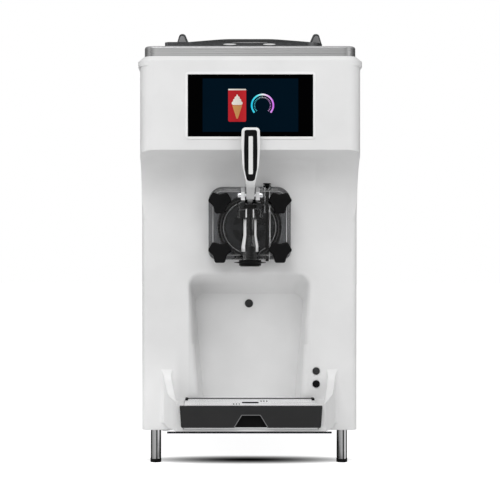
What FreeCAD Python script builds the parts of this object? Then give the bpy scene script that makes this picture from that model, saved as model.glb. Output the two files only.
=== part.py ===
import FreeCAD, Part
import math
import os

import Sketcher
from FreeCAD import Rotation, Vector

# Countertop soft-serve ice cream machine: one flavour, pull-down draw lever, touch screen.
# Frame: +Z up, front towards -Y, origin on the floor under the middle of the machine.

doc = FreeCAD.newDocument("SoftServeMachine")
sheet = doc.addObject("Spreadsheet::Sheet", "Sizes")

# Driving dimensions, in millimetres and degrees
sizes = [
    # cabinet
    ("body_width", 360, "across the side panels"),
    ("total_depth", 620, "drip tray front to rear panel"),
    ("leg_height", 61, "floor to the underside of the cabinet"),
    ("body_height", 616.5, "underside of the cabinet to the top of its shoulder"),
    ("sheet_wall", 1.5, "cabinet sheet metal"),
    ("moulding_wall", 3, "front moulding wall"),
    ("corner_radius", 24, "upright front corners of the head"),
    ("panel_radius", 10, "upright front corners below the head"),
    ("moulding_depth", 40, "recessed panel to the seam with the side panels"),
    ("tray_reach", 115, "drip tray front ahead of the recessed panel"),
    ("head_reach", 72, "head ahead of the recessed panel"),
    ("head_height", 153.5, "lower edge of the head to the top of the shoulder"),
    ("underside_drop", 23, "fall of the head's underside towards the panel"),
    ("crease_radius", 52, "underside to panel, in the middle"),
    ("sweep_radius", 88, "underside to panel, at the sides"),
    ("sweep_width", 70, "width over which the sweep tightens"),
    ("lip_out", 3.3, "shoulder lip beyond the side panels"),
    ("lip_height", 8.7, "upright face of the shoulder lip"),
    ("shoulder_rise", 8, "height of the shoulder slope"),
    ("shoulder_inset", 9.3, "width of the shoulder slope"),
    ("panel_clearance", 0.3, "gap between cabinet panels"),
    ("vent_length", 110, "louvre slot length"),
    ("vent_height", 5, "louvre slot height"),
    ("vent_pitch", 14, "louvre slot spacing"),
    ("vent_low", 40, "lowest louvre above the cabinet underside"),
    # drip tray bay
    ("base_width", 270, "tray surround at the bend of its sides"),
    ("base_front", 238, "tray surround at its front"),
    ("base_rise", 11.6, "underside of the tray surround above the cabinet underside"),
    ("ledge_height", 51, "tray ledge above the cabinet underside"),
    ("ramp_height", 101, "top of the cheek ramp above the cabinet underside"),
    ("ramp_fade", 0.3, "top of the cheek ramp ahead of the panel"),
    ("ramp_front", 5.5, "front of the cheeks above the ledge"),
    ("ramp_bend", 50, "first bend of the cheek ramp ahead of the panel"),
    ("ramp_bend_rise", 15, "first bend above the ledge"),
    ("ramp_bend_radius", 150, "hollow at the first bend"),
    ("ramp_knee", 6, "second bend of the cheek ramp ahead of the panel"),
    ("ramp_knee_rise", 34, "second bend above the ledge"),
    ("ramp_knee_radius", 20, "hollow at the second bend"),
    ("cheek_flare", 3, "hollow corner between cheek and panel, inside"),
    ("cheek_sweep", 8, "hollow corner between cheek and panel, outside"),
    ("cheek_bend", 55, "bend of the cheek's side ahead of the panel"),
    ("cheek_spread", 8.5, "outward lean of each cheek towards the panel"),
    ("basin_front", 232, "basin width at its front"),
    ("basin_back", 262, "basin width at the panel"),
    ("tray_width", 213.5, "drip tray"),
    ("tray_wall", 1.5, "drip tray sheet"),
    ("tray_back", 6, "tray ahead of the panel, room to tip it out"),
    ("tray_clearance", 1, "drip tray to its bay"),
    ("tray_front_width", 227, "top edge of the tray front"),
    ("tray_front_taper", 2.4, "narrowing of each side towards the bottom"),
    ("tray_front_height", 34.5, "tray front"),
    ("tray_front_depth", 9, "tray front thickness"),
    ("pull_top", 29, "finger pull, top width"),
    ("pull_bottom", 53, "finger pull, bottom width"),
    ("pull_height", 19.5, "finger pull"),
    ("pull_depth", 6.5, "finger pull recess"),
    ("pull_radius", 1.2, "finger pull upper corners"),
    ("grate_thickness", 2, "drip grate"),
    ("grate_hold", 27, "finger hole width"),
    ("grate_hold_depth", 24, "finger hole, front to back"),
    ("grate_hold_back", 43, "finger hole behind the tray front"),
    ("grate_notch", 6, "rear corner notch"),
    ("grate_slot", 15, "drain slot length"),
    ("grate_slot_width", 2.4, "drain slot width"),
    ("grate_slot_pitch", 4.6, "drain slot spacing"),
    ("grate_slot_side", 21, "drain slots from the finger hole, both ways"),
    # cup niche
    ("niche_gap", 24, "niche top edge below the door"),
    ("niche_top_width", 200.5, "niche width at its top"),
    ("niche_bottom_width", 171, "niche width at the tray"),
    ("niche_depth", 45, "niche back behind the panel"),
    ("niche_cove", 34, "fall of the niche roof"),
    ("niche_lip", 9, "rounding of the niche's mouth"),
    ("niche_draft", 7, "side wall draft"),
    ("niche_radius", 17, "niche corner radius"),
    ("sensor_drop", 51, "cup sensor below the niche top edge"),
    ("sensor_radius", 7, "cup sensor bezel"),
    ("button_side", 111.5, "buttons right of the middle"),
    ("button_height", 77, "lower button above the cabinet underside"),
    ("button_pitch", 21.6, "button spacing"),
    ("button_radius", 5.8, "button cap"),
    ("button_proud", 2, "button cap ahead of the panel"),
    ("button_gap", 0.3, "button cap to its hole"),
    # screen
    ("screen_drop", 81.5, "screen middle below the top of the shoulder"),
    ("glass_width", 202.6, "touch glass"),
    ("glass_height", 100.3, "touch glass"),
    ("glass_thickness", 3, "touch glass"),
    ("bezel_border", 4.4, "white frame round the glass"),
    ("bezel_proud", 1.5, "white frame ahead of the head"),
    ("bezel_radius", 6, "white frame corners"),
    ("glass_gap", 0.3, "glass to its frame"),
    ("display_width", 165, "display module"),
    ("display_height", 96, "display module"),
    ("display_depth", 11, "display module"),
    ("board_width", 120, "control board"),
    ("board_height", 76, "control board"),
    ("board_gap", 6, "control board behind the display"),
    ("board_thickness", 1.6, "control board"),
    # top
    ("deck_height", 17.5, "top deck band"),
    ("deck_inset", 1.2, "deck inside the shoulder's top edge"),
    ("deck_radius", 17, "deck upright corners"),
    ("deck_edge", 3.5, "deck top edge radius"),
    ("hopper_width", 222, "hopper inside"),
    ("hopper_length", 250, "hopper inside, front to back"),
    ("hopper_depth", 180, "hopper inside, below the deck"),
    ("hopper_wall", 2, "hopper sheet"),
    ("hopper_radius", 20, "hopper upright corners"),
    ("hopper_front", 20, "hopper opening behind the recessed panel"),
    ("hopper_rim", 6, "hopper rim above the deck"),
    ("lid_height", 16, "lid edge above the deck"),
    ("lid_crown", 13.5, "rise of the lid towards its middle"),
    ("lid_wall", 2.5, "lid wall"),
    ("lid_overhang", 11, "lid beyond the hopper opening"),
    ("lid_radius", 30, "lid upright corners"),
    ("lid_tab", 18, "lift tab beyond the lid's left side"),
    ("lid_tab_length", 90, "lift tab, front to back"),
    ("ear_side", 122.5, "outer face of the lid ears from the middle"),
    ("ear_width", 21, "lid ear at its foot"),
    ("ear_top", 9, "lid ear at its top"),
    ("ear_lean", 5, "inward lean of the ear's outer side"),
    ("ear_length", 56, "lid ear, front to back"),
    ("ear_rise", 32, "lid ear top above the deck"),
    ("ear_back", 52, "middle of the lid ears behind the recessed panel"),
    ("seat_gap", 0.3, "loose seat clearance"),
    # freezing cylinder
    ("barrel_drop", 277.5, "cylinder axis below the top of the shoulder"),
    ("barrel_radius", 45, "cylinder inside"),
    ("barrel_wall", 3, "cylinder wall"),
    ("barrel_length", 286, "front face to rear face"),
    ("barrel_proud", 1.5, "front face ahead of the recessed panel"),
    ("barrel_end", 8, "rear wall"),
    ("collar_radius", 54, "front collar"),
    ("flange_width", 132, "front flange"),
    ("flange_height", 114, "front flange"),
    ("flange_thickness", 5, "front flange"),
    ("jacket_thickness", 10, "refrigerant jacket"),
    ("jacket_length", 206, "refrigerant jacket"),
    ("foam_thickness", 14, "insulation"),
    ("shaft_radius", 10, "drive shaft"),
    ("shaft_clearance", 0.05, "running clearance of shafts and pins"),
    ("seal_radius", 17, "shaft seal"),
    ("feed_radius", 14, "feed pipe outside"),
    ("feed_bore", 9, "feed pipe bore"),
    ("feed_back", 246, "feed pipe behind the cylinder's front face"),
    ("feed_tube_height", 150, "feed tube inside the hopper"),
    # dasher
    ("dasher_gap", 1.2, "scraper to cylinder"),
    ("dasher_plate", 8, "dasher drive plate"),
    ("dasher_ring", 6, "dasher front ring"),
    ("dasher_front_gap", 6, "front ring behind the cylinder's front face"),
    ("ribbon_width", 9, "dasher ribbon, radial"),
    ("ribbon_thickness", 4, "dasher ribbon"),
    ("carrier_width", 12, "scraper carrier bar"),
    ("carrier_thickness", 5, "scraper carrier bar"),
    ("scraper_thickness", 3.5, "scraper blade"),
    # dispensing door
    ("door_width", 137, "clear door"),
    ("door_drop", 54, "door lower edge below the cylinder axis"),
    ("door_height", 121, "clear door"),
    ("door_thickness", 19, "clear door"),
    ("door_top_radius", 24, "door upper corners"),
    ("door_bottom_radius", 14, "door lower corners"),
    ("door_edge", 6, "rounding of the door's front edge"),
    ("gasket_radius", 51, "gasket middle"),
    ("gasket_width", 4, "gasket section"),
    ("knob_spread_x", 99, "stud spacing across"),
    ("knob_spread_z", 81.5, "stud spacing up"),
    ("stud_radius", 4, "door studs"),
    ("stud_clearance", 0.5, "studs through door and panel"),
    ("knob_reach", 18.5, "knob lobe tip"),
    ("knob_lobe", 16.5, "knob lobe width"),
    ("knob_waist", 12.8, "knob hollow between lobes"),
    ("knob_thickness", 17, "knob grip"),
    ("knob_hub", 8.5, "knob hub radius"),
    ("knob_hub_length", 5, "knob hub"),
    ("knob_seat", 0.2, "knob hub ahead of the door"),
    # draw valve and spout
    ("valve_out", 41.5, "valve axis ahead of the cylinder's front face"),
    ("valve_radius", 9, "draw valve"),
    ("valve_clearance", 0.25, "draw valve to its bore"),
    ("column_radius", 12.5, "clear valve column"),
    ("spout_radius", 16.3, "clear spout"),
    ("spout_drop", 7.5, "spout below the door"),
    ("spout_height", 22, "spout, before it narrows"),
    ("spout_taper", 18, "spout shoulder"),
    ("yoke_height", 92, "yoke top above the door's lower edge"),
    ("yoke_depth", 24, "yoke block"),
    ("yoke_width", 42, "yoke block"),
    ("port_radius", 7, "port from the cylinder"),
    ("valve_stop", 1.5, "closed valve end above the spout mouth"),
    ("ring_section", 1.45, "valve seal section radius"),
    ("nozzle_radius", 18.2, "nozzle cap"),
    ("nozzle_height", 11, "nozzle cap"),
    ("nozzle_floor", 3, "nozzle floor"),
    ("nozzle_flange", 26, "nozzle flange"),
    ("nozzle_flange_height", 3, "nozzle flange"),
    ("nozzle_clearance", 0.3, "nozzle on the spout"),
    ("star_outer", 10.5, "star outlet tips"),
    ("star_inner", 5.5, "star outlet hollows"),
    # draw lever
    ("pivot_height", 105, "lever pivot above the door's lower edge"),
    ("arm_length", 20, "pivot to valve"),
    ("arm_drop", 10, "lever nose below the pivot"),
    ("nose_radius", 3.5, "lever nose"),
    ("nose_clearance", 0.8, "lever nose in the valve slot"),
    ("nose_width", 8, "lever nose"),
    ("valve_cap", 6, "valve top above its slot"),
    ("slot_flare", 0.8, "slope of the valve slot's flared mouth"),
    ("pin_radius", 3, "pivot pin"),
    ("bush_radius", 5.6, "pivot bush"),
    ("ear_gap", 19.6, "between the pivot ears"),
    ("pivot_ear", 7.2, "pivot ear thickness"),
    ("pin_head", 4, "pin dome length"),
    ("pin_head_radius", 4.6, "pin dome"),
    ("neck_width", 12.8, "lever neck"),
    ("hub_radius", 7, "lever hub"),
    ("grip_width", 30.6, "lever grip at its widest"),
    ("grip_top", 28.6, "lever grip at its top"),
    ("grip_thickness", 13, "lever grip"),
    ("lever_length", 108, "pivot to the top of the lever"),
    ("grip_out", 34, "grip face ahead of the pivot"),
    ("grip_end_radius", 7, "grip corners"),
    ("inlay_width", 21.6, "grip inlay"),
    ("inlay_length", 82, "grip inlay"),
    ("inlay_depth", 2, "grip inlay"),
    ("inlay_top", 4.5, "inlay below the top of the lever"),
    ("strip_width", 7, "inlay strip"),
    ("strip_length", 61, "inlay strip"),
    ("strip_depth", 1, "inlay strip"),
    ("strip_top", 10, "strip below the top of the inlay"),
    # prime plug
    ("prime_side", 29, "prime plug right of the middle"),
    ("prime_in", 8.5, "prime plug axis behind the door's front"),
    ("prime_radius", 4.7, "prime plug"),
    ("prime_clearance", 0.2, "prime plug in its bore"),
    ("prime_length", 44, "prime plug in the boss"),
    ("prime_port", 1.3, "prime bleed hole radius"),
    ("prime_head", 6.5, "prime plug head"),
    ("prime_head_height", 6, "prime plug head above the door"),
    # feet
    ("leg_radius", 9, "leg tube"),
    ("leg_inset", 21, "legs inside the side panels"),
    ("leg_front", 52, "front legs behind the recessed panel"),
    ("leg_back", 45, "rear legs ahead of the rear panel"),
    ("foot_height", 6, "rubber foot"),
    ("foot_stem", 4, "foot stem radius"),
    ("leg_stud", 5, "leg stud radius"),
    # chassis and drive
    ("post_size", 20, "corner post leg"),
    ("post_wall", 2, "corner post wall"),
    ("post_back", 25, "front corner posts behind the moulding seam"),
    ("shelf_drop", 82, "shelf below the cylinder axis"),
    ("shelf_thickness", 3, "shelf"),
    ("shelf_length", 272, "shelf, front to back"),
    ("pan_wall", 2, "base pan"),
    ("pan_rim", 24, "base pan rim"),
    ("saddle_length", 8, "cylinder saddle"),
    ("saddle_width", 90, "cylinder saddle"),
    ("gearbox_size", 92, "gear reducer, square"),
    ("gearbox_length", 50, "gear reducer"),
    ("drive_gap", 4, "pulley clear of the gear reducer and motor"),
    ("pulley_width", 14, "pulleys"),
    ("gear_pulley_radius", 58, "reducer pulley, belt seat"),
    ("motor_pulley_radius", 26, "motor pulley, belt seat"),
    ("pulley_rim", 6, "pulley rim above the belt seat"),
    ("belt_width", 9, "drive belt"),
    ("belt_thickness", 5, "drive belt"),
    ("belt_gap", 0.3, "belt running clearance"),
    ("input_radius", 8, "reducer and motor shafts"),
    ("input_seat", 12, "shaft inside its housing"),
    ("motor_radius", 54, "drive motor"),
    ("motor_length", 130, "drive motor"),
    ("motor_inset", 76, "drive motor inside the right panel"),
    ("motor_foot", 12, "drive motor foot"),
    ("compressor_radius", 70, "compressor"),
    ("compressor_headroom", 73, "compressor shell to the shelf"),
    ("compressor_inset", 96, "compressor inside the left panel"),
    ("compressor_back", 130, "compressor behind the recessed panel"),
    ("compressor_foot", 14, "compressor grommets"),
    ("condenser_inset", 55, "condenser inside the side panels"),
    ("condenser_headroom", 23, "condenser top to the shelf"),
    ("condenser_depth", 38, "condenser"),
    ("condenser_back", 16, "condenser ahead of the rear panel"),
    ("fan_border", 22, "fan tip inside the condenser's height"),
    ("fan_depth", 26, "fan"),
    ("fan_hub", 26, "fan hub"),
    ("fan_gap", 6, "fan tip to its shroud"),
    ("fan_space", 8, "fan to the condenser"),
    ("fan_strut", 6, "fan motor bracket"),
    ("fan_motor_radius", 28, "fan motor"),
    ("fan_motor_length", 28, "fan motor"),
    ("pipe_radius", 4, "refrigerant pipe"),
    ("pipe_bend", 16, "refrigerant pipe bend"),
    ("power_width", 72, "power unit"),
    ("power_round", 5, "power unit upright corners"),
    ("power_length", 110, "power unit"),
    ("power_height", 110, "power unit"),
    ("inlet_width", 31, "power inlet cut-out"),
    ("inlet_height", 24, "power inlet cut-out"),
    ("inlet_side", 120, "power inlet right of the middle"),
    ("inlet_rise", 395, "power inlet above the cabinet underside"),
]

for row, (alias, value, note) in enumerate(sizes, start=1):
    sheet.set("A%d" % row, note)
    sheet.set("B%d" % row, str(value))
    sheet.setAlias("B%d" % row, alias)
doc.recompute()


class Size:
    # A length that knows its value and the sheet expression it comes from.
    def __init__(self, value, text):
        self.value = float(value)
        self.text = text

    def __add__(self, other):
        return Size(self.value + number(other), "(%s + %s)" % (self.text, text(other)))

    def __radd__(self, other):
        return Size(number(other) + self.value, "(%s + %s)" % (text(other), self.text))

    def __sub__(self, other):
        return Size(self.value - number(other), "(%s - %s)" % (self.text, text(other)))

    def __rsub__(self, other):
        return Size(number(other) - self.value, "(%s - %s)" % (text(other), self.text))

    def __mul__(self, other):
        return Size(self.value * number(other), "(%s * %s)" % (self.text, text(other)))

    def __rmul__(self, other):
        return Size(number(other) * self.value, "(%s * %s)" % (text(other), self.text))

    def __truediv__(self, other):
        return Size(self.value / number(other), "(%s / %s)" % (self.text, text(other)))

    def __neg__(self):
        return Size(-self.value, "(0 - %s)" % self.text)


def number(size):
    return size.value if isinstance(size, Size) else float(size)


def text(size):
    return size.text if isinstance(size, Size) else "(%.9f)" % size


def root(size):
    return Size(math.sqrt(number(size)), "sqrt(%s)" % text(size))


class Named:
    pass


s = Named()
for alias, value, note in sizes:
    setattr(s, alias, Size(sheet.get(alias), "Sizes." + alias))

# Main planes
half_width = s.body_width / 2
front_y = -(s.total_depth / 2)
rear_y = s.total_depth / 2
panel_y = front_y + s.tray_reach
head_y = panel_y - s.head_reach
seam_y = panel_y + s.moulding_depth
floor_z = s.leg_height
top_z = floor_z + s.body_height
head_z = top_z - s.head_height
lip_z = top_z - s.shoulder_rise - s.lip_height
deck_z = top_z + s.deck_height
pan_z = floor_z + s.pan_wall
ledge_z = floor_z + s.ledge_height
base_z = floor_z + s.base_rise
base_y = front_y + s.tray_front_depth + s.seat_gap
screen_z = top_z - s.screen_drop
barrel_z = top_z - s.barrel_drop
barrel_y = panel_y - s.barrel_proud
barrel_rear = barrel_y + s.barrel_length
flange_y = panel_y + s.moulding_wall
jacket_y = flange_y + s.flange_thickness
door_z = barrel_z - s.door_drop
door_top = door_z + s.door_height
door_y = barrel_y - s.door_thickness
valve_y = barrel_y - s.valve_out
spout_z = door_z - s.spout_drop
niche_z = door_z - s.niche_gap
sensor_z = niche_z - s.sensor_drop
pivot_z = door_z + s.pivot_height
pivot_y = valve_y - root(s.arm_length * s.arm_length - s.arm_drop * s.arm_drop)
nose_z = pivot_z - s.arm_drop
hopper_y = panel_y + s.hopper_front
hopper_z = deck_z - s.hopper_depth
feed_y = barrel_y + s.feed_back
shelf_z = barrel_z - s.shelf_drop
shelf_y = seam_y + s.post_back
pulley_y = barrel_rear + s.gearbox_length + s.drive_gap
motor_z = pan_z + s.motor_foot + s.motor_radius
condenser_y = rear_y - s.condenser_back - s.condenser_depth
coil_half = half_width - s.condenser_inset
coil_tall = shelf_z - s.condenser_headroom - pan_z
fan_z = pan_z + coil_tall / 2
fan_radius = coil_tall / 2 - s.fan_border
shroud_y = condenser_y - s.post_wall
fan_y = shroud_y - s.fan_space - s.fan_depth
strut_y = fan_y - s.fan_space - s.fan_strut
leg_x = half_width - s.leg_inset
motor_x = half_width - s.motor_inset
compressor_x = s.compressor_inset - half_width
shell_z = shelf_z - s.compressor_headroom
pipe_x = coil_half + s.pipe_bend + s.pipe_radius * 2.5

nodes = []


def bind(feature, name, size):
    feature.setExpression(name, text(size))


def place(feature, x=0, y=0, z=0):
    for axis, size in zip("xyz", (x, y, z)):
        bind(feature, ".Placement.Base." + axis, size)


def node(label, feature):
    feature.Label = label
    nodes.append(feature)
    return feature


# Sketch outlines
class Circle:
    def __init__(self, u, v, radius):
        self.u = u
        self.v = v
        self.radius = radius


def pin_point(sketch, geo, end, u, v):
    for kind, size in (("DistanceX", u), ("DistanceY", v)):
        index = sketch.addConstraint(Sketcher.Constraint(kind, -1, 1, geo, end, number(size)))
        bind(sketch, "Constraints[%d]" % index, size)


def set_radius(sketch, geo, radius):
    index = sketch.addConstraint(Sketcher.Constraint("Radius", geo, number(radius)))
    bind(sketch, "Constraints[%d]" % index, radius)


def draw_circle(sketch, circle):
    middle = Vector(number(circle.u), number(circle.v), 0)
    geo = sketch.addGeometry(Part.Circle(middle, Vector(0, 0, 1), number(circle.radius)))
    pin_point(sketch, geo, 3, circle.u, circle.v)
    set_radius(sketch, geo, circle.radius)


def draw_outline(sketch, corners):
    # Straight sides through the corners; a third value rounds its corner.
    spots = [Vector(number(c[0]), number(c[1]), 0) for c in corners]
    count = len(corners)
    leave = []
    arrive = []
    arcs = []
    for i, spot in enumerate(spots):
        if len(corners[i]) < 3:
            leave.append(spot)
            arrive.append(spot)
            arcs.append(None)
            continue
        radius = number(corners[i][2])
        back = (spots[i - 1] - spot).normalize()
        ahead = (spots[(i + 1) % count] - spot).normalize()
        half = back.getAngle(ahead) / 2
        run = radius / math.tan(half)
        middle = spot + (back + ahead).normalize() * (radius / math.sin(half))
        arrive.append(spot + back * run)
        leave.append(spot + ahead * run)
        left = ahead.cross(back).z > 0
        first, last = (arrive[i], leave[i]) if left else (leave[i], arrive[i])
        arc = Part.Arc(first, middle + (spot - middle).normalize() * radius, last)
        arcs.append((sketch.addGeometry(arc), (1, 2) if left else (2, 1)))
    sides = []
    for i in range(count):
        sides.append(sketch.addGeometry(Part.LineSegment(leave[i], arrive[(i + 1) % count])))
    for i, corner in enumerate(corners):
        before = sides[i - 1]
        after = sides[i]
        if arcs[i] is None:
            sketch.addConstraint(Sketcher.Constraint("Coincident", before, 2, after, 1))
            pin_point(sketch, after, 1, corner[0], corner[1])
            continue
        geo, (first, last) = arcs[i]
        mark = sketch.addGeometry(Part.Point(spots[i]), True)
        pin_point(sketch, mark, 1, corner[0], corner[1])
        sketch.addConstraint(Sketcher.Constraint("PointOnObject", mark, 1, before))
        sketch.addConstraint(Sketcher.Constraint("PointOnObject", mark, 1, after))
        sketch.addConstraint(Sketcher.Constraint("Tangent", before, 2, geo, first))
        sketch.addConstraint(Sketcher.Constraint("Tangent", geo, last, after, 1))
        set_radius(sketch, geo, corner[2])


def rectangle(u0, v0, u1, v1, radius=None):
    corners = [(u0, v0), (u1, v0), (u1, v1), (u0, v1)]
    return corners if radius is None else [corner + (radius,) for corner in corners]


# Body features: each works between two levels along the axis across its plane
def new_body(label):
    body = doc.addObject("PartDesign::Body", label)
    return node(label, body)


def profile(body, plane, offset, loops):
    sketch = body.newObject("Sketcher::SketchObject", body.Name + "_outline")
    origin = [f for f in body.Origin.OriginFeatures if f.Role == plane + "_Plane"][0]
    sketch.AttachmentSupport = [(origin, "")]
    sketch.MapMode = "FlatFace"
    bind(sketch, "AttachmentOffset.Base.z", -offset if plane == "XZ" else offset)
    for loop in loops:
        if isinstance(loop, Circle):
            draw_circle(sketch, loop)
        else:
            draw_outline(sketch, loop)
    return sketch


def pad(body, plane, low, high, *loops):
    sketch = profile(body, plane, high if plane == "XZ" else low, loops)
    feature = body.newObject("PartDesign::Pad", body.Name + "_pad")
    feature.Profile = sketch
    bind(feature, "Length", high - low)
    return feature


def pocket(body, plane, low, high, *loops):
    sketch = profile(body, plane, low if plane == "XZ" else high, loops)
    feature = body.newObject("PartDesign::Pocket", body.Name + "_pocket")
    feature.Profile = sketch
    bind(feature, "Length", high - low)
    return feature


def turned(body, plane, axis, *loops):
    feature = body.newObject("PartDesign::Revolution", body.Name + "_turned")
    feature.Profile = profile(body, plane, Size(0, "0"), loops)
    feature.ReferenceAxis = (feature.Profile[0], [axis])
    feature.Angle = 360
    return feature


def grooved(body, plane, axis, *loops):
    feature = body.newObject("PartDesign::Groove", body.Name + "_groove")
    feature.Profile = profile(body, plane, Size(0, "0"), loops)
    feature.ReferenceAxis = (feature.Profile[0], [axis])
    feature.Angle = 360
    return feature


def lofted(body, kind, plane, sections):
    sketches = [profile(body, plane, level, [loop]) for level, loop in sections]
    feature = body.newObject("PartDesign::%sLoft" % kind, body.Name + "_loft")
    feature.Profile = sketches[0]
    feature.Sections = sketches[1:]
    feature.Ruled = True
    return feature


def row(body, feature, axis, count, length):
    # Repeats a cut along one axis of its own sketch.
    pattern = body.newObject("PartDesign::LinearPattern", body.Name + "_row")
    pattern.Originals = [feature]
    pattern.Direction = (feature.Profile[0], [axis])
    pattern.Occurrences = count
    bind(pattern, "Length", length)
    body.Tip = pattern
    return pattern


def rounded(body, radius, chosen):
    # Rounds the edges whose middle passes the given test.
    doc.recompute()
    base = body.Tip
    names = []
    for i, edge in enumerate(base.Shape.Edges, start=1):
        if chosen(edge):
            names.append("Edge%d" % i)
    feature = body.newObject("PartDesign::Fillet", body.Name + "_rounding")
    feature.Base = (base, names)
    bind(feature, "Radius", radius)
    return feature


def level(edge, axis, size):
    # True where the whole edge lies in one plane across the axis.
    return all(abs(getattr(v.Point, axis) - number(size)) < 0.01 for v in edge.Vertexes)


# Plain solids
def box(name, x0, x1, y0, y1, z0, z1):
    feature = doc.addObject("Part::Box", name)
    bind(feature, "Length", x1 - x0)
    bind(feature, "Width", y1 - y0)
    bind(feature, "Height", z1 - z0)
    place(feature, x0, y0, z0)
    return feature


def cylinder(name, axis, radius, low, high, u, v):
    # Axis X takes (y, z), axis Y takes (x, z) and axis Z takes (x, y).
    feature = doc.addObject("Part::Cylinder", name)
    bind(feature, "Radius", radius)
    bind(feature, "Height", high - low)
    if axis == "X":
        feature.Placement.Rotation = Rotation(Vector(0, 1, 0), 90)
        place(feature, low, u, v)
    elif axis == "Y":
        feature.Placement.Rotation = Rotation(Vector(1, 0, 0), -90)
        place(feature, u, low, v)
    else:
        place(feature, u, v, low)
    return feature


def fused(name, *features):
    feature = doc.addObject("Part::MultiFuse", name)
    feature.Shapes = list(features)
    return feature


def cut(name, base, tool):
    feature = doc.addObject("Part::Cut", name)
    feature.Base = base
    feature.Tool = tool
    return feature


def group(label, features):
    feature = doc.addObject("Part::Compound", label)
    feature.Links = features
    return node(label, feature)


# Front moulding: recessed panel, overhanging head, tray surround and cup niche
def rounded_front(half, front, radius, back):
    return [(-half, back), (-half, front, radius), (half, front, radius), (half, back)]


def niche_outline(top, top_half, bottom_half, bottom, radius):
    return [(-bottom_half, bottom), (bottom_half, bottom), (top_half, top, radius), (-top_half, top, radius)]


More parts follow.
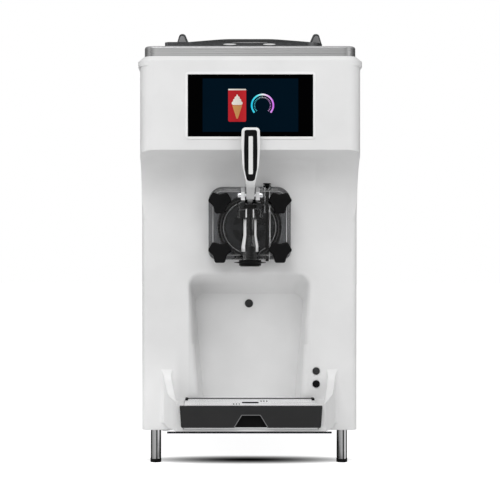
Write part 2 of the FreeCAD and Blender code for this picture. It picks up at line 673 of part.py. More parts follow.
def front_moulding():
    body = new_body("front_moulding")
    wall = s.moulding_wall
    corner = s.corner_radius
    lip_half = half_width + s.lip_out
    pad(body, "XY", floor_z, head_z, rounded_front(half_width, panel_y, s.panel_radius, seam_y))
    sweep_z = head_z - s.underside_drop - s.sweep_radius
    pad(body, "XY", sweep_z, lip_z, rounded_front(half_width, head_y, corner, seam_y))

    def under_head(radius):
        return [
            (head_y - 1, sweep_z - 1),
            (panel_y, sweep_z - 1),
            (panel_y, head_z - s.underside_drop, radius),
            (head_y, head_z),
            (head_y - 1, head_z),
        ]

    inner = half_width - s.sweep_width
    lofted(body, "Subtractive", "YZ", [
        (-half_width - 1, under_head(s.sweep_radius)),
        (-inner, under_head(s.crease_radius)),
        (inner, under_head(s.crease_radius)),
        (half_width + 1, under_head(s.sweep_radius)),
    ])

    # the corner below the head fades into the sweep
    def corner_off(side, rise, share):
        radius = s.panel_radius * share
        front = panel_y - s.sweep_radius * (1 - math.sqrt(1 - rise * rise))
        return sweep_z + s.sweep_radius * rise, [
            (side * (half_width - radius), front - 1),
            (side * (half_width + 1), front - 1),
            (side * (half_width + 1), front + radius),
            (side * half_width, front + radius),
            (side * half_width, front, radius * 0.97),
            (side * (half_width - radius), front),
        ]

    for side in (-1, 1):
        lofted(body, "Subtractive", "XY", [
            corner_off(side, 0.0, 0.98),
            corner_off(side, 0.3, 0.8),
            corner_off(side, 0.55, 0.5),
            corner_off(side, 0.72, 0.2),
        ])
    lip_corner = corner + s.lip_out
    pad(body, "XY", lip_z, lip_z + s.lip_height, rounded_front(lip_half, head_y, lip_corner, seam_y))
    inset = s.shoulder_inset
    lofted(body, "Additive", "XY", [
        (lip_z + s.lip_height, rounded_front(lip_half, head_y, lip_corner, seam_y)),
        (top_z, rounded_front(lip_half - inset, head_y + inset, lip_corner - inset, seam_y)),
    ])
    hollow = half_width - wall
    pocket(body, "XY", floor_z - 1, head_z + wall + 1,
           rounded_front(hollow, panel_y + wall, s.panel_radius - wall, seam_y + 1))
    pocket(body, "XY", head_z + wall, lip_z + s.lip_height,
           rounded_front(hollow, head_y + wall, corner - wall, seam_y + 1))
    pocket(body, "XY", lip_z, top_z + 1,
           rounded_front(hollow - inset, head_y + wall + inset, corner - wall - inset, seam_y + 1))

    # tray surround with hollow-ramped cheeks
    base_half = s.base_width / 2
    ramp_z = floor_z + s.ramp_height
    wide = base_half + s.cheek_spread + s.cheek_sweep
    pad(body, "YZ", -wide, wide, [
        (base_y, base_z),
        (panel_y + 1, base_z),
        (panel_y + 1, ramp_z),
        (panel_y - s.ramp_fade, ramp_z),
        (panel_y - s.ramp_knee, ledge_z + s.ramp_knee_rise, s.ramp_knee_radius),
        (panel_y - s.ramp_bend, ledge_z + s.ramp_bend_rise, s.ramp_bend_radius),
        (base_y, ledge_z + s.ramp_front),
    ])
    for side in (-1, 1):
        pocket(body, "XY", base_z - 1, ramp_z + 1, [
            (side * (s.base_front / 2), base_y - 1),
            (side * (wide + 1), base_y - 1),
            (side * (wide + 1), panel_y),
            (side * (base_half + s.cheek_spread), panel_y, s.cheek_sweep),
            (side * base_half, panel_y - s.cheek_bend),
        ])
    pocket(body, "XY", ledge_z, ramp_z + 1, [
        (-(s.basin_front / 2), base_y - 1),
        (s.basin_front / 2, base_y - 1),
        (s.basin_back / 2, panel_y, s.cheek_flare),
        (-(s.basin_back / 2), panel_y, s.cheek_flare),
    ])
    bay = s.tray_width / 2 + s.tray_clearance
    pocket(body, "XY", base_z + wall, ledge_z + 1,
           rectangle(-bay, base_y - 1, bay, panel_y - s.tray_clearance))

    # cup niche
    top_half = s.niche_top_width / 2
    bottom_half = s.niche_bottom_width / 2
    back_y = panel_y + s.niche_depth
    draft = s.niche_draft
    radius = s.niche_radius
    mouth = wall + s.niche_lip / 2
    lofted(body, "Additive", "XZ", [
        (panel_y + wall / 2, niche_outline(niche_z + mouth, top_half + mouth, bottom_half + mouth,
                                           ledge_z - wall, radius + mouth)),
        (back_y + wall, niche_outline(niche_z + wall - s.niche_cove, top_half + wall - draft,
                                      bottom_half + wall - draft, ledge_z - wall, radius + wall)),
    ])
    lofted(body, "Subtractive", "XZ", [
        (panel_y - 0.2, niche_outline(niche_z, top_half, bottom_half, ledge_z, radius)),
        (back_y, niche_outline(niche_z - s.niche_cove, top_half - draft, bottom_half - draft,
                               ledge_z, radius)),
    ])

    def at_mouth(edge):
        middle = edge.CenterOfMass
        inside = abs(middle.x) < number(top_half) + 1 and middle.z < number(niche_z) + 1
        return level(edge, "y", panel_y) and inside and middle.z > number(ledge_z) + 1

    rounded(body, s.niche_lip, at_mouth)

    # openings for the screen, freezing cylinder, studs, sensor and buttons
    glass_half = s.glass_width / 2 + s.glass_gap
    glass_rise = s.glass_height / 2 + s.glass_gap
    pocket(body, "XZ", head_y - 1, head_y + wall + 1,
           rectangle(-glass_half, screen_z - glass_rise, glass_half, screen_z + glass_rise))
    holes = [Circle(Size(0, "0"), barrel_z, s.collar_radius + s.panel_clearance)]
    for x, z in stud_spots():
        holes.append(Circle(x, z, s.stud_radius + s.stud_clearance))
    for lift in (0, 1):
        holes.append(Circle(s.button_side, floor_z + s.button_height + lift * s.button_pitch,
                            s.button_radius + s.button_gap))
    pocket(body, "XZ", panel_y - 1, panel_y + wall + 1, *holes)
    pocket(body, "XZ", back_y - 1, back_y + wall + 1,
           Circle(Size(0, "0"), sensor_z, s.sensor_radius - 2))


def stud_spots():
    spots = []
    for up in (1, -1):
        for side in (-1, 1):
            spots.append((side * (s.knob_spread_x / 2), barrel_z + up * (s.knob_spread_z / 2)))
    return spots


# Cabinet sheet metal
def side_panels():
    for label, side in (("left_side_panel", -1), ("right_side_panel", 1)):
        body = new_body(label)
        inner = side * (half_width - s.sheet_wall)
        outer = side * half_width
        low, high = (outer, inner) if side < 0 else (inner, outer)
        first = seam_y + s.panel_clearance
        pad(body, "YZ", low, high, rectangle(first, floor_z, rear_y, lip_z))
        vent_y = rear_y - 2 * s.leg_back - s.vent_length
        vent_z = floor_z + s.vent_low
        vent = pocket(body, "YZ", low - 1, high + 1,
                      rectangle(vent_y, vent_z, vent_y + s.vent_length, vent_z + s.vent_height))
        row(body, vent, "V_Axis", 12, 11 * s.vent_pitch)


def rear_panel():
    body = new_body("rear_panel")
    half = half_width - s.sheet_wall - s.panel_clearance
    inner = rear_y - s.sheet_wall
    pad(body, "XZ", inner, rear_y, rectangle(-half, floor_z, half, lip_z))
    vent_z = floor_z + s.vent_low
    for side in (-1, 1):
        near = side * s.vent_pitch / 2
        far = side * (s.vent_pitch / 2 + s.vent_length)
        left, right = (far, near) if side < 0 else (near, far)
        vent = pocket(body, "XZ", inner - 1, rear_y + 1,
                      rectangle(left, vent_z, right, vent_z + s.vent_height))
        row(body, vent, "V_Axis", 14, 13 * s.vent_pitch)
    inlet_z = floor_z + s.inlet_rise
    pocket(body, "XZ", inner - 1, rear_y + 1,
           rectangle(s.inlet_side - s.inlet_width / 2, inlet_z - s.inlet_height / 2,
                     s.inlet_side + s.inlet_width / 2, inlet_z + s.inlet_height / 2))


def base_pan():
    body = new_body("base_pan")
    half = half_width - s.sheet_wall
    first = seam_y + s.panel_clearance
    last = rear_y - s.sheet_wall
    wall = s.pan_wall
    pad(body, "XY", floor_z, floor_z + s.pan_rim, rectangle(-half, first, half, last))
    pocket(body, "XY", pan_z, floor_z + s.pan_rim + 1,
           rectangle(-half + wall, first + wall, half - wall, last - wall))
    tongue = half_width - s.moulding_wall - s.panel_clearance
    pad(body, "XY", floor_z, pan_z,
        rectangle(-tongue, panel_y + s.panel_radius, tongue, first + wall / 2))
    for x, y in leg_spots():
        pocket(body, "XY", floor_z - 1, pan_z + 1, Circle(x, y, s.leg_stud + s.stud_clearance))


def leg_spots():
    spots = []
    for y in (panel_y + s.leg_front, rear_y - s.leg_back):
        for side in (-1, 1):
            spots.append((side * leg_x, y))
    return spots


def legs():
    tubes = []
    pads = []
    for i, (x, y) in enumerate(leg_spots()):
        tube = cylinder("leg_tube%d" % i, "Z", s.leg_radius, s.foot_height, floor_z, x, y)
        stud = cylinder("leg_stud%d" % i, "Z", s.leg_stud, floor_z - 1, pan_z + 8, x, y)
        socket = cylinder("leg_socket%d" % i, "Z", s.foot_stem + s.shaft_clearance,
                          s.foot_height - 1, s.foot_height * 3, x, y)
        tubes.append(cut("leg%d" % i, fused("leg_whole%d" % i, tube, stud), socket))
        sole = cylinder("foot_sole%d" % i, "Z", s.leg_radius + s.seat_gap, Size(0, "0"), s.foot_height, x, y)
        stem = cylinder("foot_stem%d" % i, "Z", s.foot_stem, s.foot_height - 1, s.foot_height * 3 - 1, x, y)
        pads.append(fused("foot%d" % i, sole, stem))
    group("legs", tubes)
    group("feet", pads)


def top_collar():
    body = new_body("top_collar")
    lip_half = half_width + s.lip_out
    first = seam_y + s.panel_clearance
    inset = s.shoulder_inset
    pad(body, "XY", lip_z, lip_z + s.lip_height, rectangle(-lip_half, first, lip_half, rear_y))
    lofted(body, "Additive", "XY", [
        (lip_z + s.lip_height, rectangle(-lip_half, first, lip_half, rear_y)),
        (top_z, rectangle(-lip_half + inset, first, lip_half - inset, rear_y - inset)),
    ])
    inner = lip_half - inset - s.post_size
    pocket(body, "XY", lip_z - 1, top_z + 1,
           rectangle(-inner, first - 1, inner, rear_y - inset - s.post_size))


def top_deck():
    body = new_body("top_deck")
    half = half_width + s.lip_out - s.shoulder_inset - s.deck_inset
    first = head_y + s.shoulder_inset + 4 * s.deck_inset
    last = rear_y - s.shoulder_inset - s.deck_inset
    wall = s.sheet_wall
    pad(body, "XY", top_z, deck_z, rectangle(-half, first, half, last, s.deck_radius))
    rounded(body, s.deck_edge, lambda edge: level(edge, "z", deck_z))
    pocket(body, "XY", top_z - 1, deck_z - wall,
           rectangle(-half + wall, first + wall, half - wall, last - wall, s.deck_radius - wall))
    gap = s.hopper_wall + s.seat_gap
    side = s.hopper_width / 2 + gap
    pocket(body, "XY", deck_z - wall - 1, deck_z + 1,
           rectangle(-side, hopper_y - gap, side, hopper_y + s.hopper_length + gap, s.hopper_radius + gap))


# Hopper and lid
def hopper_box(grow):
    side = s.hopper_width / 2 + grow
    return rectangle(-side, hopper_y - grow, side, hopper_y + s.hopper_length + grow, s.hopper_radius + grow)


def hopper():
    body = new_body("hopper")
    wall = s.hopper_wall
    rim_z = deck_z + s.hopper_rim
    pad(body, "XY", hopper_z - wall, rim_z, hopper_box(wall))
    pad(body, "XY", deck_z, deck_z + wall, hopper_box(wall + s.hopper_rim))
    pocket(body, "XY", hopper_z, rim_z + 1, hopper_box(Size(0, "0")))
    pocket(body, "XY", hopper_z - wall - 1, hopper_z + 1, Circle(Size(0, "0"), feed_y, s.feed_bore))


def feed_pipe():
    z1 = hopper_z - s.hopper_wall
    pipe = cylinder("feed_pipe_wall", "Z", s.feed_radius, barrel_z, z1, Size(0, "0"), feed_y)
    bore = cylinder("feed_pipe_bore", "Z", s.feed_bore, barrel_z - 1, z1 + 1, Size(0, "0"), feed_y)
    saddle = cylinder("feed_pipe_saddle", "Y", s.barrel_radius + s.barrel_wall, feed_y - 2 * s.feed_radius,
                      feed_y + 2 * s.feed_radius, Size(0, "0"), barrel_z)
    node("feed_pipe", cut("feed_pipe", pipe, fused("feed_pipe_inside", bore, saddle)))


def feed_tube():
    body = new_body("feed_tube")
    place(body, 0, feed_y, hopper_z)
    radius = s.feed_bore - s.seat_gap
    bore = radius - s.hopper_wall
    seat = s.feed_bore + s.hopper_wall
    turned(body, "XZ", "V_Axis", [
        (bore, -2 * s.feed_bore),
        (radius, -2 * s.feed_bore),
        (radius, Size(0, "0")),
        (seat, Size(0, "0")),
        (seat, s.hopper_wall),
        (radius, s.hopper_wall),
        (radius, s.feed_tube_height),
        (bore, s.feed_tube_height),
    ])
    pocket(body, "XZ", -2 * s.feed_bore, 2 * s.feed_bore, Circle(Size(0, "0"), 3 * s.feed_bore, bore / 2))


def hopper_lid():
    body = new_body("hopper_lid")
    wall = s.lid_wall
    grow = s.lid_overhang + s.hopper_wall
    edge_z = deck_z + s.lid_height
    side = s.hopper_width / 2 + grow
    lid_y = hopper_y - grow
    last = hopper_y + s.hopper_length + grow
    pad(body, "XY", deck_z, edge_z, rectangle(-side, lid_y, side, last, s.lid_radius))
    # rings of the dome: inset as a share of the half width, share of the crown, corner
    dome = []
    rings = ((0.0, 0.0, 1.0), (0.1, 0.25, 1.2), (0.32, 0.82, 1.9), (0.65, 1.0, 1.3))

    def ring(inset, corner):
        return rectangle(-side + inset, lid_y + inset, side - inset, last - inset, corner)

    for share, rise, roundness in rings:
        dome.append((edge_z + s.lid_crown * rise, ring(side * share, s.lid_radius * roundness)))
    lofted(body, "Additive", "XY", dome)
    middle = panel_y + s.ear_back
    half = s.ear_length / 2
    tab = s.lid_tab_length / 2
    pad(body, "XY", deck_z, edge_z,
        rectangle(-side - s.lid_tab, middle - tab, -side + s.lid_radius, middle + tab, s.lid_tab / 2))
    for sign in (-1, 1):
        ear_z = deck_z + s.ear_rise
        pad(body, "XZ", middle - half, middle + half, [
            (sign * s.ear_side, edge_z - 1),
            (sign * (s.ear_side - s.ear_lean), ear_z, s.ear_top * 0.6),
            (sign * (s.ear_side - s.ear_lean - s.ear_top), ear_z, s.ear_top * 0.6),
            (sign * (s.ear_side - s.ear_width), edge_z - 1),
        ])
    for share, rise, roundness in rings[:3]:
        pocket(body, "XY", deck_z - 1, edge_z + s.lid_crown * rise - wall,
               ring(wall + side * share, s.lid_radius * roundness - wall))


# Screen
def screen():
    bezel = new_body("screen_bezel")
    gap = s.glass_gap
    wide = s.glass_width / 2
    tall = s.glass_height / 2
    out = s.bezel_border
    pad(bezel, "XZ", head_y - s.bezel_proud, head_y,
        rectangle(-wide - out, screen_z - tall - out, wide + out, screen_z + tall + out, s.bezel_radius))
    rounded(bezel, s.bezel_proud * 0.6, lambda edge: level(edge, "y", head_y - s.bezel_proud))
    pocket(bezel, "XZ", head_y - s.bezel_proud - 1, head_y + 1,
           rectangle(-wide - gap, screen_z - tall - gap, wide + gap, screen_z + tall + gap))
    glass = new_body("touch_glass")
    glass_y = head_y - s.bezel_proud + gap
    back = glass_y + s.glass_thickness
    pad(glass, "XZ", glass_y, back, rectangle(-wide, screen_z - tall, wide, screen_z + tall))
    module = new_body("display_module")
    side = s.display_width / 2
    rise = s.display_height / 2
    module_back = back + s.display_depth
    pad(module, "XZ", back, module_back, rectangle(-side, screen_z - rise, side, screen_z + rise))
    board = new_body("control_board")
    side = s.board_width / 2
    rise = s.board_height / 2
    board_y = module_back + s.board_gap
    board_back = board_y + s.board_thickness
    pad(board, "XZ", board_y, board_back, rectangle(-side, screen_z - rise, side, screen_z + rise))
    posts = []
    for x in (-1, 1):
        for z in (-1, 1):
            posts.append(Circle(x * (side - 5), screen_z + z * (rise - 5), s.leg_stud / 2))
    pad(board, "XZ", module_back, board_y + 0.5, *posts)
    pad(board, "XZ", board_back - 0.5, board_back + 9,
        rectangle(-side + 12, screen_z - rise + 6, -side + 40, screen_z - rise + 20),
        rectangle(-side + 12, screen_z + rise - 22, -side + 34, screen_z + rise - 8),
        rectangle(side - 38, screen_z - rise + 8, side - 14, screen_z - rise + 18))
    pad(board, "XZ", board_back - 0.5, board_back + 3,
        rectangle(-14, screen_z - 14, 14, screen_z + 14))


# Freezing cylinder, its jacket and its front door
def freezing_cylinder():
    body = new_body("freezing_cylinder")
    place(body, 0, barrel_y, barrel_z)
    inside = s.barrel_radius
    outside = inside + s.barrel_wall
    collar = s.barrel_proud + s.moulding_wall
    turned(body, "XY", "V_Axis", [
        (inside, Size(0, "0")),
        (s.collar_radius, Size(0, "0")),
        (s.collar_radius, collar),
        (outside, collar),
        (outside, s.barrel_length),
        (s.seal_radius, s.barrel_length),
        (s.seal_radius, s.barrel_length - s.barrel_end),
        (inside, s.barrel_length - s.barrel_end),
    ])
    wide = s.flange_width / 2
    tall = s.flange_height / 2
    pad(body, "XZ", collar, collar + s.flange_thickness,
        rectangle(-wide, -tall, wide, tall, s.door_bottom_radius), Circle(Size(0, "0"), Size(0, "0"), inside))
    studs = [Circle(x, z - barrel_z, s.stud_radius + s.shaft_clearance) for x, z in stud_spots()]
    pocket(body, "XZ", collar - 1, collar + s.flange_thickness + 1, *studs)
    pocket(body, "XY", Size(0, "0"), outside + 1, Circle(Size(0, "0"), s.feed_back, s.feed_bore))


def sleeve(label, y, z, inside, outside, length):
    body = new_body(label)
    place(body, 0, y, z)
    turned(body, "XY", "V_Axis", rectangle(inside, Size(0, "0"), outside, length))
    return body


def jacket():
    inside = s.barrel_radius + s.barrel_wall
    middle = inside + s.jacket_thickness
    sleeve("refrigerant_jacket", jacket_y, barrel_z, inside, middle, s.jacket_length)
    sleeve("insulation", jacket_y, barrel_z, middle, middle + s.foam_thickness, s.jacket_length)
    sleeve("shaft_seal", barrel_rear - s.barrel_end, barrel_z, s.shaft_radius + s.shaft_clearance,
           s.seal_radius, s.barrel_end)


def door_studs():
    tip = door_y - s.knob_seat - s.knob_hub_length - s.knob_thickness * 0.6
    studs = []
    for i, (x, z) in enumerate(stud_spots()):
        studs.append(cylinder("stud%d" % i, "Y", s.stud_radius, tip, jacket_y, x, z))
    group("door_studs", studs)


def gasket():
    half = s.gasket_width / 2
    sleeve("door_gasket", barrel_y - s.gasket_width, barrel_z, s.gasket_radius - half,
           s.gasket_radius + half, s.gasket_width)


def dispensing_door():
    body = new_body("dispensing_door")
    place(body, 0, valve_y, door_z)
    back = s.valve_out
    front = back - s.door_thickness
    join = front + 1
    half = s.door_width / 2
    top = s.door_height
    zero = Size(0, "0")
    axis_z = barrel_z - door_z
    pad(body, "XZ", front, back, [
        (-half, zero, s.door_bottom_radius),
        (half, zero, s.door_bottom_radius),
        (half, top, s.door_top_radius),
        (-half, top, s.door_top_radius),
    ])
    rounded(body, s.door_edge, lambda edge: level(edge, "y", front))
    tip = s.spout_radius - 1.5
    yoke = s.yoke_height
    turned(body, "XZ", "V_Axis", [
        (zero, -s.spout_drop),
        (tip, -s.spout_drop),
        (tip, Size(1, "1")),
        (s.spout_radius, Size(1, "1")),
        (s.spout_radius, s.spout_height),
        (s.column_radius, s.spout_height + s.spout_taper),
        (s.column_radius, yoke),
        (zero, yoke),
    ])
    web = s.column_radius / 2
    pad(body, "XY", Size(2, "2"), yoke, rectangle(-web, zero, web, join))
    wide = s.yoke_width / 2
    nib = s.column_radius + 1.5
    pad(body, "XY", yoke - s.yoke_depth, yoke, [
        (-wide, join),
        (-wide, -nib, nib / 2),
        (wide, -nib, nib / 2),
        (wide, join),
    ])
    axis_y = pivot_y - valve_y
    ear = s.bush_radius + 3
    cradle = s.bush_radius - 1.2
    ear_low = yoke - s.yoke_depth / 2
    for side in (-1, 1):
        near = side * s.ear_gap / 2
        far = side * (s.ear_gap / 2 + s.pivot_ear)
        low, high = (far, near) if side < 0 else (near, far)
        pad(body, "YZ", low, high, [
            (axis_y - cradle, ear_low, cradle * 0.6),
            (join, ear_low),
            (join, s.pivot_height + ear),
            (axis_y - cradle, s.pivot_height + ear, cradle * 0.9),
        ])
    pocket(body, "XY", -s.spout_drop - 1, yoke + 1, Circle(zero, zero, s.valve_radius + s.valve_clearance))
    pocket(body, "XZ", zero, back + 1, Circle(zero, s.spout_height - s.port_radius + 1, s.port_radius))
    pocket(body, "XZ", back - s.gasket_width, back + 1, Circle(zero, axis_z, s.barrel_radius - 5))
    ring = s.gasket_width / 2
    pocket(body, "XZ", back - s.gasket_width, back + 1, Circle(zero, axis_z, s.gasket_radius + ring),
           Circle(zero, axis_z, s.gasket_radius - ring))
    studs = [Circle(x, z - door_z, s.stud_radius + s.stud_clearance) for x, z in stud_spots()]
    pocket(body, "XZ", front - 1, back + 1, *studs)
    prime_y = front + s.prime_in
    prime_foot = top - s.prime_length
    pocket(body, "XY", prime_foot, top + 1,
           Circle(s.prime_side, prime_y, s.prime_radius + s.prime_clearance))
    pocket(body, "XZ", prime_y, back + 1, Circle(s.prime_side, prime_foot + 3, s.prime_port))
    pocket(body, "YZ", -wide, wide, Circle(axis_y, s.pivot_height, s.bush_radius))


# Draw valve, lever and prime plug
def draw_valve():
    body = new_body("draw_valve")
    foot_z = spout_z + s.valve_stop
    place(body, 0, valve_y, foot_z)
    radius = s.valve_radius
    slot_z = nose_z - foot_z
    slot = s.nose_radius + s.nose_clearance
    tall = slot_z + slot + s.valve_cap
    zero = Size(0, "0")
    turned(body, "XZ", "V_Axis", [
        (zero, zero),
        (radius - 1, zero),
        (radius, Size(1, "1")),
        (radius, tall - 1),
        (radius - 1, tall),
        (zero, tall),
    ])
    ring = s.ring_section
    middle = radius + s.valve_clearance - s.shaft_clearance - ring
    rings = []
    for i, share in enumerate((0.08, 0.42, 0.62)):
        height = tall * share
        seat = ring + 0.1
        grooved(body, "XZ", "V_Axis", rectangle(middle - ring, height - seat, radius + 1, height + seat))
        torus = doc.addObject("Part::Torus", "valve_ring%d" % i)
        bind(torus, "Radius1", middle)
        bind(torus, "Radius2", ring)
        place(torus, 0, valve_y, foot_z + height)
        rings.append(torus)
    half = s.nose_width / 2 + s.nose_clearance
    mouth = slot + (radius + 1) * s.slot_flare
    pocket(body, "YZ", -half, half, [
        (-radius - 1, slot_z - mouth),
        (zero, slot_z - slot),
        (radius + 1, slot_z - slot),
        (radius + 1, slot_z + slot),
        (zero, slot_z + slot),
        (-radius - 1, slot_z + mouth),
    ])
    group("valve_seals", rings)


def pivot():
    pin = new_body("pivot_pin")
    place(pin, 0, pivot_y, pivot_z)
    reach = s.ear_gap / 2 + s.pivot_ear + s.seat_gap
    tip = reach + s.pin_head
    zero = Size(0, "0")
    turned(pin, "XY", "H_Axis", [
        (-tip, zero),
        (tip, zero),
        (tip, s.pin_head_radius, s.pin_head * 0.8),
        (reach, s.pin_head_radius),
        (reach, s.pin_radius),
        (-reach, s.pin_radius),
        (-reach, s.pin_head_radius),
        (-tip, s.pin_head_radius, s.pin_head * 0.8),
    ])
    bushes = []
    for i, side in enumerate((-1, 1)):
        near = s.ear_gap / 2
        far = near + s.pivot_ear
        low, high = (-far, -near) if side < 0 else (near, far)
        outer = cylinder("bush_outer%d" % i, "X", s.bush_radius, low, high, pivot_y, pivot_z)
        inner = cylinder("bush_inner%d" % i, "X", s.pin_radius + s.shaft_clearance, low - 1, high + 1,
                         pivot_y, pivot_z)
        bushes.append(cut("bush%d" % i, outer, inner))
    group("pivot_bushes", bushes)


def inlay_outline(shrink):
    top = s.lever_length - s.inlay_top - shrink
    low = s.lever_length - s.inlay_top - s.inlay_length + shrink
    wide = s.inlay_width / 2 - shrink
    return [
        (-wide * 0.92, top, s.strip_width / 2),
        (-wide, low + s.inlay_length * 0.6, s.inlay_length / 2),
        (-wide * 0.93, low + s.inlay_length * 0.24, s.inlay_length / 3),
        (-wide * 0.56, low, wide * 0.5),
        (wide * 0.56, low, wide * 0.5),
        (wide * 0.93, low + s.inlay_length * 0.24, s.inlay_length / 3),
        (wide, low + s.inlay_length * 0.6, s.inlay_length / 2),
        (wide * 0.92, top, s.strip_width / 2),
    ]


def strip_outline(shrink):
    top = s.lever_length - s.inlay_top - s.strip_top
    half = s.strip_width / 2 - shrink
    return rectangle(-half, top - s.strip_length + shrink, half, top - shrink, s.strip_width / 5)


def draw_lever():
    body = new_body("draw_lever")
    place(body, 0, pivot_y, pivot_z)
    grip = s.grip_width / 2
    neck = s.neck_width / 2
    top = s.lever_length
    hub = s.hub_radius
    face = -s.grip_out
    rear = face + s.grip_thickness
    foot = top - s.inlay_top - s.inlay_length
    pad(body, "YZ", -grip, grip, [
        (face, top, s.grip_thickness * 0.4),
        (face, foot - hub, s.grip_thickness),
        (-hub, -hub, hub * 0.95),
        (hub, -hub, hub * 0.95),
        (hub, hub, hub * 0.95),
        (rear, foot + s.grip_thickness, s.grip_thickness * 1.5),
        (rear, top, s.grip_thickness * 0.4),
    ])
    round_end = s.grip_end_radius
    grip_top = s.grip_top / 2
    for side in (-1, 1):
        pocket(body, "XZ", face - 1, hub + 1, [
            (side * neck, -2 * hub),
            (side * neck, hub, 3 * hub),
            (side * neck * 1.18, foot * 0.9, 3 * hub),
            (side * grip * 0.875, top * 0.445, s.inlay_length * 0.5),
            (side * grip, top * 0.76, s.inlay_length * 0.5),
            (side * grip_top, top, round_end),
            (side * (grip_top - round_end - 1), top),
            (side * (grip_top - round_end - 1), top + 5),
            (side * (grip + 5), top + 5),
            (side * (grip + 5), -2 * hub),
        ])
    # nose that lifts the valve
    run = valve_y - pivot_y
    along = (run / s.arm_length, -s.arm_drop / s.arm_length)
    across = (s.arm_drop / s.arm_length, run / s.arm_length)
    nose = s.nose_radius
    tip = s.arm_length + nose
    width = s.nose_width / 2

    def spot(reach, lift):
        return (along[0] * reach + across[0] * lift, along[1] * reach + across[1] * lift)

    pad(body, "YZ", -width, width, [
        spot(Size(0, "0"), nose),
        spot(Size(0, "0"), -nose),
        spot(tip, -nose) + (nose * 0.95,),
        spot(tip, nose) + (nose * 0.95,),
    ])
    pocket(body, "YZ", -grip, grip, Circle(Size(0, "0"), Size(0, "0"), s.pin_radius + s.shaft_clearance))
    pocket(body, "XZ", face - 1, face + s.inlay_depth, inlay_outline(Size(0, "0")))
    inlay = new_body("grip_inlay")
    place(inlay, 0, pivot_y, pivot_z)
    proud = face - s.seat_gap
    pad(inlay, "XZ", proud, face + s.inlay_depth, inlay_outline(s.shaft_clearance))
    pocket(inlay, "XZ", proud - 1, proud + s.strip_depth, strip_outline(Size(0, "0")))
    strip = new_body("grip_strip")
    place(strip, 0, pivot_y, pivot_z)
    pad(strip, "XZ", proud, proud + s.strip_depth, strip_outline(s.shaft_clearance))


def prime_plug():
    body = new_body("prime_plug")
    place(body, s.prime_side, door_y + s.prime_in, door_top)
    zero = Size(0, "0")
    head = s.prime_head
    tall = s.prime_head_height
    foot = -s.prime_length + 6
    gap = s.knob_seat
    turned(body, "XZ", "V_Axis", [
        (zero, foot),
        (s.prime_radius, foot),
        (s.prime_radius, gap),
        (head, gap),
        (head, tall * 0.35),
        (head * 0.65, tall * 0.45),
        (head * 0.65, tall * 0.6),
        (head, tall * 0.7),
        (head, tall),
        (zero, tall),
    ])


def star_nozzle():
    body = new_body("star_nozzle")
    place(body, 0, valve_y, door_z - s.nozzle_height)
    zero = Size(0, "0")
    radius = s.nozzle_radius
    inside = s.spout_radius - 1.5 + s.nozzle_clearance
    high = s.nozzle_height - s.nozzle_clearance
    brim = s.nozzle_height * 0.45
    turned(body, "XZ", "V_Axis", [
        (zero, zero),
        (radius * 0.84, zero),
        (radius, s.nozzle_floor * 0.6),
        (radius, brim),
        (s.nozzle_flange, brim + s.nozzle_flange_height * 0.4),
        (s.nozzle_flange, brim + s.nozzle_flange_height * 0.7),
        (radius, brim + s.nozzle_flange_height),
        (radius, high),
        (inside, high),
        (inside, s.nozzle_floor),
        (zero, s.nozzle_floor),
    ])
    points = []
    for i in range(12):
        reach = s.star_inner if i % 2 else s.star_outer
        angle = math.radians(30 * i)
        points.append((reach * math.cos(angle), reach * math.sin(angle)))
    pocket(body, "XY", Size(-1, "-1"), s.nozzle_floor + 1, points)


def knobs():
    labels = ("upper_left_knob", "upper_right_knob", "lower_left_knob", "lower_right_knob")
    for label, (x, z) in zip(labels, stud_spots()):
        body = new_body(label)
        place(body, x, door_y - s.knob_seat, z)
        zero = Size(0, "0")
        hub = s.knob_hub_length
        front = hub + s.knob_thickness
        lobes = []
        for angle in (-90, 30, 150):
            turn = math.radians(angle)
            out = (math.cos(turn), math.sin(turn))
            valley = (math.cos(turn + math.pi / 3), math.sin(turn + math.pi / 3))
            half = s.knob_lobe / 2
            for side in (-1, 1):
                lobes.append((s.knob_reach * out[0] - side * half * out[1],
                              s.knob_reach * out[1] + side * half * out[0], half * 0.5))
            lobes.append((s.knob_waist * valley[0], s.knob_waist * valley[1], half))
        pad(body, "XZ", -front, -hub, lobes)
        rounded(body, s.knob_thickness * 0.15, lambda edge: level(edge, "y", -front))
        pad(body, "XZ", -hub - 1, zero, Circle(zero, zero, s.knob_hub))
        pocket(body, "XZ", -hub - s.knob_thickness * 0.65, Size(1, "1"),
               Circle(zero, zero, s.stud_radius + s.shaft_clearance))


